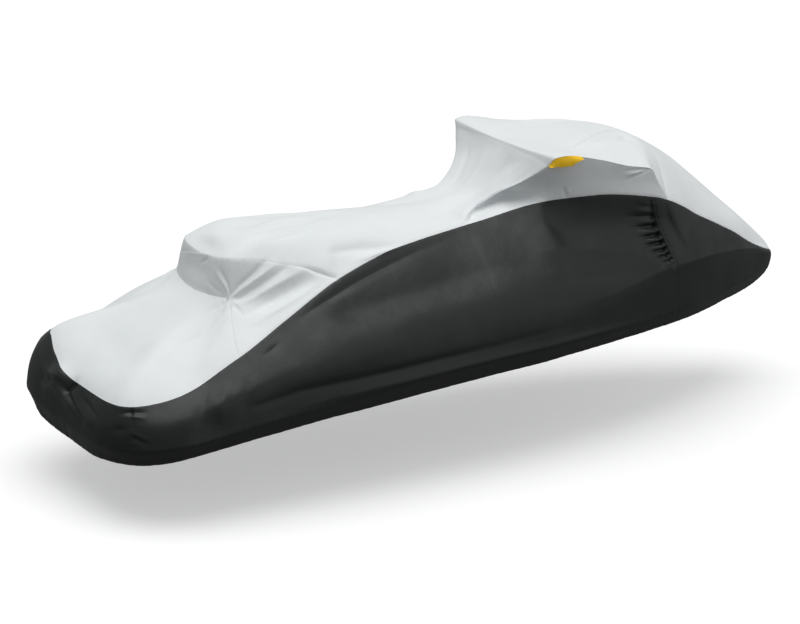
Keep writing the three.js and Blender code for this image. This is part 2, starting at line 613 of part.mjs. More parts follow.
const tagTriangles = [];
for (let i = 0; i < TAG_STEPS.along; i += 1) {
  for (let j = 0; j < TAG_STEPS.down; j += 1) {
    const corner = (di, dj) => {
      const [u, v] = [(i + di) / TAG_STEPS.along, (j + dj) / TAG_STEPS.down];
      return { at: tagPoint(u, v), normal: new THREE.Vector3(0, -1, 0) };
    };
    const [a, b, c, d] = [corner(0, 0), corner(0, 1), corner(1, 1), corner(1, 0)];
    tagTriangles.push([a, b, c], [a, c, d]);
  }
}
addSheet('yellow_tag', tagTriangles, yellow, TAG.thickness);

export default cover;
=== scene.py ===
import math

import bpy
import numpy as np
from mathutils import Matrix, Vector
from mathutils.bvhtree import BVHTree


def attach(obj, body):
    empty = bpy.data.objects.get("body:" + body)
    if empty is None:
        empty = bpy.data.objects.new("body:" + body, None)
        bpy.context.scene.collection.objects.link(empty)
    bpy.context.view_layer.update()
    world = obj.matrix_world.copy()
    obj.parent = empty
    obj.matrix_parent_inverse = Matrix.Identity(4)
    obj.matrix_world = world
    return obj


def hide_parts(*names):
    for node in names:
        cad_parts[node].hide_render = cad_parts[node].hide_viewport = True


# A fitted cover for a personal watercraft, as it hangs in use. Cloth sizes are in millimetres forward of
# the stern, to port of the centre plane and above the floor. Meshes are in the frame's metres
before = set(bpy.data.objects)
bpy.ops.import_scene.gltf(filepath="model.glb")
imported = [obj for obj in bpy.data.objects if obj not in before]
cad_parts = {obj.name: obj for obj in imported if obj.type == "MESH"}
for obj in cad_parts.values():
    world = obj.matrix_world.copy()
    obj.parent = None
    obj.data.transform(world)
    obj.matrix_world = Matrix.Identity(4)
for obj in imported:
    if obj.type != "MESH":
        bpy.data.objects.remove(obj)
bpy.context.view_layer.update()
scene = bpy.context.scene
MM = 0.001
SEAT_REST = np.array([1400.0, 0.0, 988.0])


# Camera: it stands off the starboard stern quarter, a little above the cover, with a long lens, which
# is the photo's viewing angle. The image is 800 by 624 pixels
CAMERA_PLACE = Vector((-7.1437, -11.7642, 3.8126))
CAMERA_AZIMUTH = math.radians(-31.912)
CAMERA_ELEVATION = math.radians(17.09)
CAMERA_ROLL = math.radians(0.625)
CAMERA_LENS = 155.8
SENSOR_WIDTH = 36.0

camera_back = Vector((
    math.sin(CAMERA_AZIMUTH) * math.cos(CAMERA_ELEVATION),
    -math.cos(CAMERA_AZIMUTH) * math.cos(CAMERA_ELEVATION),
    math.sin(CAMERA_ELEVATION),
))
level_right = Vector((math.cos(CAMERA_AZIMUTH), math.sin(CAMERA_AZIMUTH), 0))
level_up = camera_back.cross(level_right)
camera_right = math.cos(CAMERA_ROLL) * level_right + math.sin(CAMERA_ROLL) * level_up
camera_up = camera_back.cross(camera_right)
camera_data = bpy.data.cameras.new("photo_camera")
camera_data.lens = CAMERA_LENS
camera_data.sensor_width = SENSOR_WIDTH
camera_data.clip_end = 200
camera = bpy.data.objects.new("photo_camera", camera_data)
turn = Matrix((camera_right, camera_up, camera_back)).transposed().to_4x4()
camera.matrix_world = Matrix.Translation(CAMERA_PLACE) @ turn
scene.collection.objects.link(camera)
scene.camera = camera


# Studio: a plain pale floor below the hem, one wide soft light overhead, a weaker one from beside the
# bow and a bright upper sky. The floor throws no light back up, so the undersides stay dark
FLOOR_SIDE = 160.0
FLOOR_HEIGHT = -SEAT_REST[2] * MM
FLOOR_GREY, FLOOR_GLOW, FLOOR_ROUGH, FLOOR_GLOSS = 0.62, 0.42, 0.9, 0.1
SKY_FILL, GROUND_FILL = 0.40, 0.17
SKY_FULL, GROUND_FULL = 0.1, -0.15    # heights on the unit sphere from which each fill is full
SKY_TINT = (0.97, 0.985, 1.0)

bpy.ops.mesh.primitive_plane_add(size=FLOOR_SIDE, location=(0, 0, FLOOR_HEIGHT))
floor = bpy.context.object
floor.name = "floor"
floor_paint = bpy.data.materials.new("floor_paint")
floor_paint.use_nodes = True
floor_shader = floor_paint.node_tree.nodes["Principled BSDF"]
floor_shader.inputs["Base Color"].default_value = (FLOOR_GREY, FLOOR_GREY, FLOOR_GREY, 1)
floor_shader.inputs["Emission Color"].default_value = (1, 1, 1, 1)
floor_shader.inputs["Emission Strength"].default_value = FLOOR_GLOW
floor_shader.inputs["Roughness"].default_value = FLOOR_ROUGH
floor_shader.inputs["Specular IOR Level"].default_value = FLOOR_GLOSS
floor.data.materials.append(floor_paint)
floor.visible_diffuse = False
floor.visible_glossy = False

# The lamps' names, strengths, widths in degrees and the directions in which they stand
for lamp_name, strength, softness, place in (("overhead_softbox", 1.92, 60, (-0.03, 0.03, 0.99)),
                                             ("side_softbox", 0.55, 80, (0.66, -0.71, 0.25))):
    lamp_data = bpy.data.lights.new(lamp_name, "SUN")
    lamp_data.energy = strength
    lamp_data.angle = math.radians(softness)
    lamp = bpy.data.objects.new(lamp_name, lamp_data)
    lamp.rotation_euler = Vector(place).to_track_quat("Z", "Y").to_euler()
    scene.collection.objects.link(lamp)

sky = bpy.data.worlds.new("studio_sky")
scene.world = sky
sky.use_nodes = True
sky_nodes, sky_links = sky.node_tree.nodes, sky.node_tree.links
sky_place = sky_nodes.new("ShaderNodeTexCoord")
sky_split = sky_nodes.new("ShaderNodeSeparateXYZ")
sky_ramp = sky_nodes.new("ShaderNodeMapRange")
sky_ramp.inputs["From Min"].default_value = GROUND_FULL
sky_ramp.inputs["From Max"].default_value = SKY_FULL
sky_ramp.inputs["To Min"].default_value = GROUND_FILL
sky_ramp.inputs["To Max"].default_value = SKY_FILL
sky_links.new(sky_place.outputs["Generated"], sky_split.inputs[0])
sky_links.new(sky_split.outputs["Z"], sky_ramp.inputs["Value"])
sky_links.new(sky_ramp.outputs["Result"], sky_nodes["Background"].inputs["Strength"])
sky_nodes["Background"].inputs["Color"].default_value = (*SKY_TINT, 1)
scene.view_settings.view_transform = "Standard"


# Top panel: the long silver panel that runs from the seat's rear edge over the seat, the handlebar
# and the hood to the bow tip. It is coated woven polyester, sewn all round to the panels beside it.
# Eight lines give the whole cover's form: hem, fold, belly, boundary, waist, edge, crown and spine.
# A row is station, distance from the stern, distance out to the side and height above the floor.
# Station 0 is the middle of the stern and 10 the bow tip
HEM = [
    (0, 36, 0, 250), (1, 26, 230, 250), (1.5, 48, 330, 250), (2, 112, 445, 254), (2.5, 188, 502, 264),
    (3, 300, 550, 290), (4, 590, 582, 330), (5, 1100, 585, 374), (6, 1700, 572, 408), (7, 2110, 538, 425),
    (8, 2690, 430, 441), (9, 3130, 262, 450), (9.6, 3388, 120, 460), (9.85, 3475, 58, 478),
    (10, 3508, 0, 492),
]
FOLD = [
    (0, 10, 0, 326), (1, 8, 250, 322), (1.5, 26, 368, 320), (2, 84, 465, 322), (2.5, 150, 530, 332),
    (3, 288, 586, 353), (4, 580, 606, 392), (5, 1100, 615, 437), (6, 1700, 600, 476), (7, 2110, 568, 484),
    (8, 2690, 446, 484), (9, 3140, 262, 488), (9.6, 3400, 118, 498), (9.85, 3490, 58, 506),
    (10, 3526, 0, 512),
]
BELLY = [
    (0, 20, 0, 415), (1, 20, 250, 410), (1.5, 36, 362, 408), (2, 88, 446, 410), (2.5, 160, 502, 420),
    (3, 290, 552, 450), (4, 570, 578, 532), (5, 1100, 594, 612), (6, 1700, 590, 626), (7, 2130, 570, 642),
    (8, 2659, 482, 711), (8.5, 2875, 408, 702), (9, 3102, 286, 665), (9.5, 3320, 158, 610),
    (9.85, 3483, 62, 550), (10, 3530, 0, 530),
]
BOUNDARY = [
    (0, 53, 0, 494), (1, 54, 240, 486), (1.5, 68, 340, 485), (2, 111, 402, 487), (2.5, 190, 437, 495),
    (3, 300, 460, 518), (4, 552, 465, 633), (4.5, 781, 420, 735), (5, 1090, 340, 853),
    (5.5, 1408, 275, 919), (6, 1723, 250, 955), (6.5, 1945, 255, 990), (7, 2122, 325, 1030),
    (7.5, 2317, 385, 1040), (8, 2574, 420, 1005), (8.25, 2660, 412, 978), (8.5, 2858, 340, 872),
    (9, 3109, 240, 747), (9.5, 3335, 130, 621), (9.85, 3480, 52, 560), (10, 3522, 0, 545),
]
WAIST = [
    (0, 600, 0, 792), (2, 610, 110, 793), (3, 622, 170, 796), (4, 643, 220, 800), (4.5, 830, 318, 822),
    (5, 1089, 335, 858), (6, 1724, 245, 959), (6.25, 1862, 158, 998), (6.5, 1972, 156, 1036),
    (6.75, 2046, 216, 1042), (7, 2112, 326, 1078), (7.5, 2312, 388, 1100), (8, 2576, 414, 1060),
    (8.25, 2662, 408, 981), (10, 3520, 0, 548),
]
EDGE = [
    (0, 633, 0, 937), (2, 636, 110, 944), (3.4, 645, 155, 950), (4, 660, 182, 952), (4.12, 704, 212, 950),
    (4.3, 783, 236, 940), (4.5, 863, 258, 920), (4.75, 952, 284, 898), (5, 1088, 329, 864),
    (6, 1725, 240, 964), (6.25, 1848, 168, 1008), (6.5, 1930, 192, 1056), (6.75, 2008, 258, 1109),
    (7, 2073, 354, 1191), (7.12, 2090, 380, 1224), (7.25, 2140, 398, 1234), (7.5, 2303, 405, 1199),
    (7.75, 2444, 415, 1157), (7.93, 2556, 415, 1131), (8.1, 2600, 412, 1062), (8.25, 2664, 404, 985),
    (10, 3518, 0, 551),
]
CROWN = [
    (0, 650, 0, 948), (2, 668, 85, 962), (4, 738, 150, 996), (4.25, 815, 166, 1006),
    (4.5, 912, 168, 1000), (5, 1175, 170, 986), (5.5, 1440, 158, 976), (6, 1700, 120, 972),
    (6.25, 1872, 62, 1012), (6.5, 1972, 82, 1080), (6.75, 2036, 125, 1150), (7, 2064, 185, 1206),
    (7.12, 2080, 195, 1225), (7.25, 2138, 200, 1225), (7.5, 2325, 205, 1227), (8, 2610, 215, 1192),
    (8.25, 2720, 200, 1132), (8.5, 2885, 175, 1012), (9, 3122, 122, 838), (9.5, 3342, 64, 686),
    (9.85, 3474, 26, 586), (10, 3514, 0, 557),
]
SPINE = [
    (0, 656, 0, 952), (4, 765, 0, 1010), (4.5, 930, 0, 1014), (5, 1200, 0, 1000), (5.5, 1450, 0, 992),
    (6, 1700, 0, 988), (6.25, 1870, 0, 1018), (6.5, 1975, 0, 1088), (6.75, 2032, 0, 1160),
    (7, 2062, 0, 1212), (7.12, 2080, 0, 1226), (7.25, 2136, 0, 1222), (7.5, 2330, 0, 1230),
    (8, 2640, 0, 1208), (8.25, 2745, 0, 1166), (8.5, 2900, 0, 1074), (9, 3130, 0, 888),
    (9.5, 3345, 0, 718), (9.85, 3475, 0, 602), (10, 3508, 0, 566),
]
LINES = [HEM, FOLD, BELLY, BOUNDARY, WAIST, EDGE, CROWN, SPINE]
HEM_LINE, FOLD_LINE, BELLY_LINE, BOUNDARY_LINE, WAIST_LINE, EDGE_LINE, CROWN_LINE, SPINE_LINE = range(8)
STERN_CORNER, SEAT_CORNER, SEAT_SIDE_END, GRIP_START, BOW_SEAM, GRIP_END, BOW_TIP = 2, 4, 5, 6, 8, 8.25, 10
PINCH_WIDTH = 12                # least width kept between boundary and edge where no gusset lies
PINCH_EASE = 0.12               # stations over which the pinch sets in

# How sharply the section turns at each line, from 0, smooth, to 1, a corner. A row is station, turn
TURNS = [
    [(0, 0)],
    [(0, 0.95)],
    [(0, 0), (6.5, 0), (7.6, 0.6), (8, 0.95), (9.2, 0.9), (9.6, 0.4), (10, 0)],
    [(0, 0.3), (5.2, 0.2), (5.7, 0.75), (6.6, 0.7), (7.3, 0.4), (8.4, 0.4), (9, 0.2)],
    [(0, 0.9), (3.8, 0.9), (4.5, 0)],
    [(0, 0.8), (4.3, 0.7), (5, 0), (6, 0), (6.4, 0.9), (7.9, 0.9), (8.2, 0.3), (8.4, 0)],
    [(0, 0)],
    [(0, 0)],
]


def hermite(a, b, slope_a, slope_b, f):
    """Cubic from a to b with end slopes slope_a and slope_b, at fraction f."""
    square, cube = f**2, f**3
    return ((2 * cube - 3 * square + 1) * a + (cube - 2 * square + f) * slope_a
            + (3 * square - 2 * cube) * b + (cube - square) * slope_b)


def smoothstep(low, high, value):
    """Three times the square less twice the cube of the value's share of the way from low to high."""
    share = np.clip((value - low) / (high - low), 0, 1)
    return share**2 * (3 - 2 * share)


def table_curve(table, column, at):
    """Cubic through a table's column without overshoot: a row's slope is the harmonic mean of the
    slopes on its two sides, zero at a turning point, and the chord's own slope at both ends."""
    rows = np.array(table, float)
    knots, values = rows[:, 0], rows[:, column]
    if len(knots) == 1:
        return np.full(len(at), values[0])
    step = np.diff(knots)
    chord = np.diff(values) / step
    slope = np.zeros(len(knots))
    slope[0], slope[-1] = chord[0], chord[-1]
    before, after = chord[:-1], chord[1:]
    same_way = before * after > 0
    weight_before = (2 * step[1:] + step[:-1])[same_way]
    weight_after = (step[1:] + 2 * step[:-1])[same_way]
    slope[1:-1][same_way] = (weight_before + weight_after) / (
        weight_before / before[same_way] + weight_after / after[same_way])
    run = np.clip(np.searchsorted(knots, at, side="right") - 1, 0, len(step) - 1)
    share = np.clip((at - knots[run]) / step[run], 0, 1)
    return hermite(values[run], values[run + 1], slope[run] * step[run], slope[run + 1] * step[run], share)


def unit(vectors):
    """Vectors divided by their lengths, and left at zero where they have none."""
    length = np.linalg.norm(vectors, axis=-1, keepdims=True)
    return vectors / np.maximum(length, 1e-9)


def section_points(stations):
    """The eight points of the section at each station, starboard side. Where no gusset lies, waist
    and edge stand half a pinch and one pinch above the boundary, up the section's own slope."""
    points = np.stack([
        np.stack([table_curve(line, 1, stations), -table_curve(line, 2, stations),
                  table_curve(line, 3, stations)], axis=-1) for line in LINES], axis=1)
    boundary = points[:, BOUNDARY_LINE]
    uphill = unit(unit(points[:, CROWN_LINE] - boundary) + unit(boundary - points[:, BELLY_LINE]))
    pinched = (smoothstep(SEAT_SIDE_END - PINCH_EASE, SEAT_SIDE_END, stations)
               * (1 - smoothstep(GRIP_START, GRIP_START + PINCH_EASE, stations))
               + smoothstep(GRIP_END - PINCH_EASE / 2, GRIP_END, stations))[:, None]
    for line, width in ((WAIST_LINE, PINCH_WIDTH / 2), (EDGE_LINE, PINCH_WIDTH)):
        points[:, line] += pinched * (boundary + uphill * width - points[:, line])
    return points


# The port boundary and edge run elsewhere on the cloth than the starboard ones: by what share of the
# way to the next line up each is moved. A row is station, share
PORT_BOUNDARY_SHIFT = [(0, 0), (0.4, 0.015), (0.9, 0.05), (1.5, 0.1), (1.9, 0.1), (2.4, 0.07), (3, 0.03),
                       (4, 0), (4.6, 0), (5.2, -0.05), (6.4, -0.05), (7, 0)]
PORT_EDGE_SHIFT = [(0, 0), (0.6, -0.08), (2.2, -0.25), (3.84, -0.4), (4.12, -0.35), (4.5, -0.12), (5, 0)]


def port_across(stations, across):
    """Across values on the port side: those between two lines are stretched evenly to the moved lines."""
    lines = np.tile(np.arange(len(LINES), dtype=float), (len(stations), 1))
    lines[:, BOUNDARY_LINE] += table_curve(PORT_BOUNDARY_SHIFT, 1, stations)
    lines[:, EDGE_LINE] += table_curve(PORT_EDGE_SHIFT, 1, stations)
    run = np.minimum(across.astype(int), SPINE_LINE - 1)
    return lines[:, run] * (1 - (across - run)) + lines[:, run + 1] * (across - run)


def cover_surface(stations, acrosses, side=1):
    """The cover's surface at every pair of a station and an across value, which counts the lines from
    hem, 0, to spine, 7, laid out to starboard for both sides. Between two lines it is a cubic whose end
    slopes are the smooth ones, turned to the straight chord by each line's sharpness. Past the centre
    plane it mirrors."""
    folded = np.where(stations < 0, -stations, stations)
    folded = np.where(stations > BOW_TIP, 2 * BOW_TIP - stations, folded)
    past_end = np.where((stations < 0) | (stations > BOW_TIP), -1, 1)
    across = np.maximum(np.where(acrosses > SPINE_LINE, 2 * SPINE_LINE - acrosses, acrosses), 0)
    past_spine = np.where(acrosses > SPINE_LINE, -1, 1)
    if side < 0:
        across = port_across(folded, across)
    else:
        across = np.broadcast_to(across, (len(folded), across.shape[-1]))
    points = section_points(folded)
    beyond = points[:, CROWN_LINE] * [1, -1, 1]
    ahead = np.concatenate([np.diff(points, axis=1), (beyond - points[:, SPINE_LINE])[:, None]], axis=1)
    back = np.concatenate([ahead[:, :1], ahead[:, :-1]], axis=1)
    ahead_length = np.linalg.norm(ahead, axis=-1, keepdims=True)
    back_length = np.linalg.norm(back, axis=-1, keepdims=True)
    smooth = unit(back) * ahead_length + unit(ahead) * back_length
    smooth /= np.maximum(ahead_length + back_length, 1e-9)
    sharp = np.stack([table_curve(turns, 1, folded) for turns in TURNS], axis=1)[:, :, None]
    run = np.minimum(across.astype(int), SPINE_LINE - 1)
    row = np.arange(len(folded))[:, None]
    chord, length = ahead[row, run], ahead_length[row, run]
    turn_a, turn_b = sharp[row, run], sharp[row, run + 1]
    leaving = (smooth[row, run] * (1 - turn_a) + unit(chord) * turn_a) * length
    arriving = (smooth[row, run + 1] * (1 - turn_b) + unit(chord) * turn_b) * length
    share = (across - run)[..., None]
    surface = hermite(points[row, run], points[row, run + 1], leaving, arriving, share)
    surface[..., 1] *= past_end[:, None] * past_spine
    return surface


NORMAL_SPAN, NORMAL_RISE = 0.02, 0.1    # half steps in station and in across of the normals


def cover_normals(stations, acrosses, side=1):
    """Outward normals: the cross product of the surface's steps forward and upward over a small span,
    wide enough to round a corner's normals."""
    along = (cover_surface(stations + NORMAL_SPAN, acrosses, side)
             - cover_surface(stations - NORMAL_SPAN, acrosses, side))
    upward = (cover_surface(stations, acrosses + NORMAL_RISE, side)
              - cover_surface(stations, acrosses - NORMAL_RISE, side))
    return unit(np.cross(along, upward))


# The port stern quarter rides up on the deck: how far a mirrored point is raised, and pushed forward
RIDE_UP_LOW, RIDE_UP_HIGH = 40, 72
RIDE_UP_FROM, RIDE_UP_TO = 330, 490
RIDE_UP_OUT, RIDE_UP_END = 420, 900
RIDE_UP_FORWARD = 0.1


def port_side(points):
    """Mirror image of starboard points. The stern quarter is raised by a height that grows with the
    point's own height, and its share with the distance to the side and to the stern."""
    height = smoothstep(RIDE_UP_FROM, RIDE_UP_TO, points[..., 2])
    height = RIDE_UP_LOW + (RIDE_UP_HIGH - RIDE_UP_LOW) * height
    share = smoothstep(0, RIDE_UP_OUT, -points[..., 1]) * (1 - smoothstep(0, RIDE_UP_END, points[..., 0]))
    raised = points * [1, -1, 1]
    raised[..., 0] += RIDE_UP_FORWARD * height * share
    raised[..., 2] += height * share
    return raised


# Grid steps of the cloth meshes: along to each station, and up to each line
STATION_STEPS = ((1, 32), (2, 30), (3, 32), (4, 36), (5, 76), (6, 62), (7, 68), (7.6, 44), (8, 60),
                 (8.25, 16), (9, 56), (9.6, 34), (9.85, 16), (10, 10))
LINE_STEPS = (10, 22, 72, 28, 22, 18, 17)
PINCH_STEPS = 3


def stations_between(start, end):
    """The grid's stations from start to end, evenly spaced between the stops of the step table."""
    stops = np.array([0] + [stop for stop, _ in STATION_STEPS], float)
    counts = np.cumsum([0] + [count for _, count in STATION_STEPS])
    first, last = np.interp([start, end], stops, counts).round().astype(int)
    return np.interp(np.arange(first, last + 1), counts, stops)


def lines_between(start, end, steps=None):
    """The grid's across values from one line to another, evenly spaced between neighbouring lines."""
    counts = [steps or LINE_STEPS[line] for line in range(start, end)]
    pieces = [line + np.arange(count) / count for line, count in zip(range(start, end), counts)]
    return np.concatenate(pieces + [[end]])


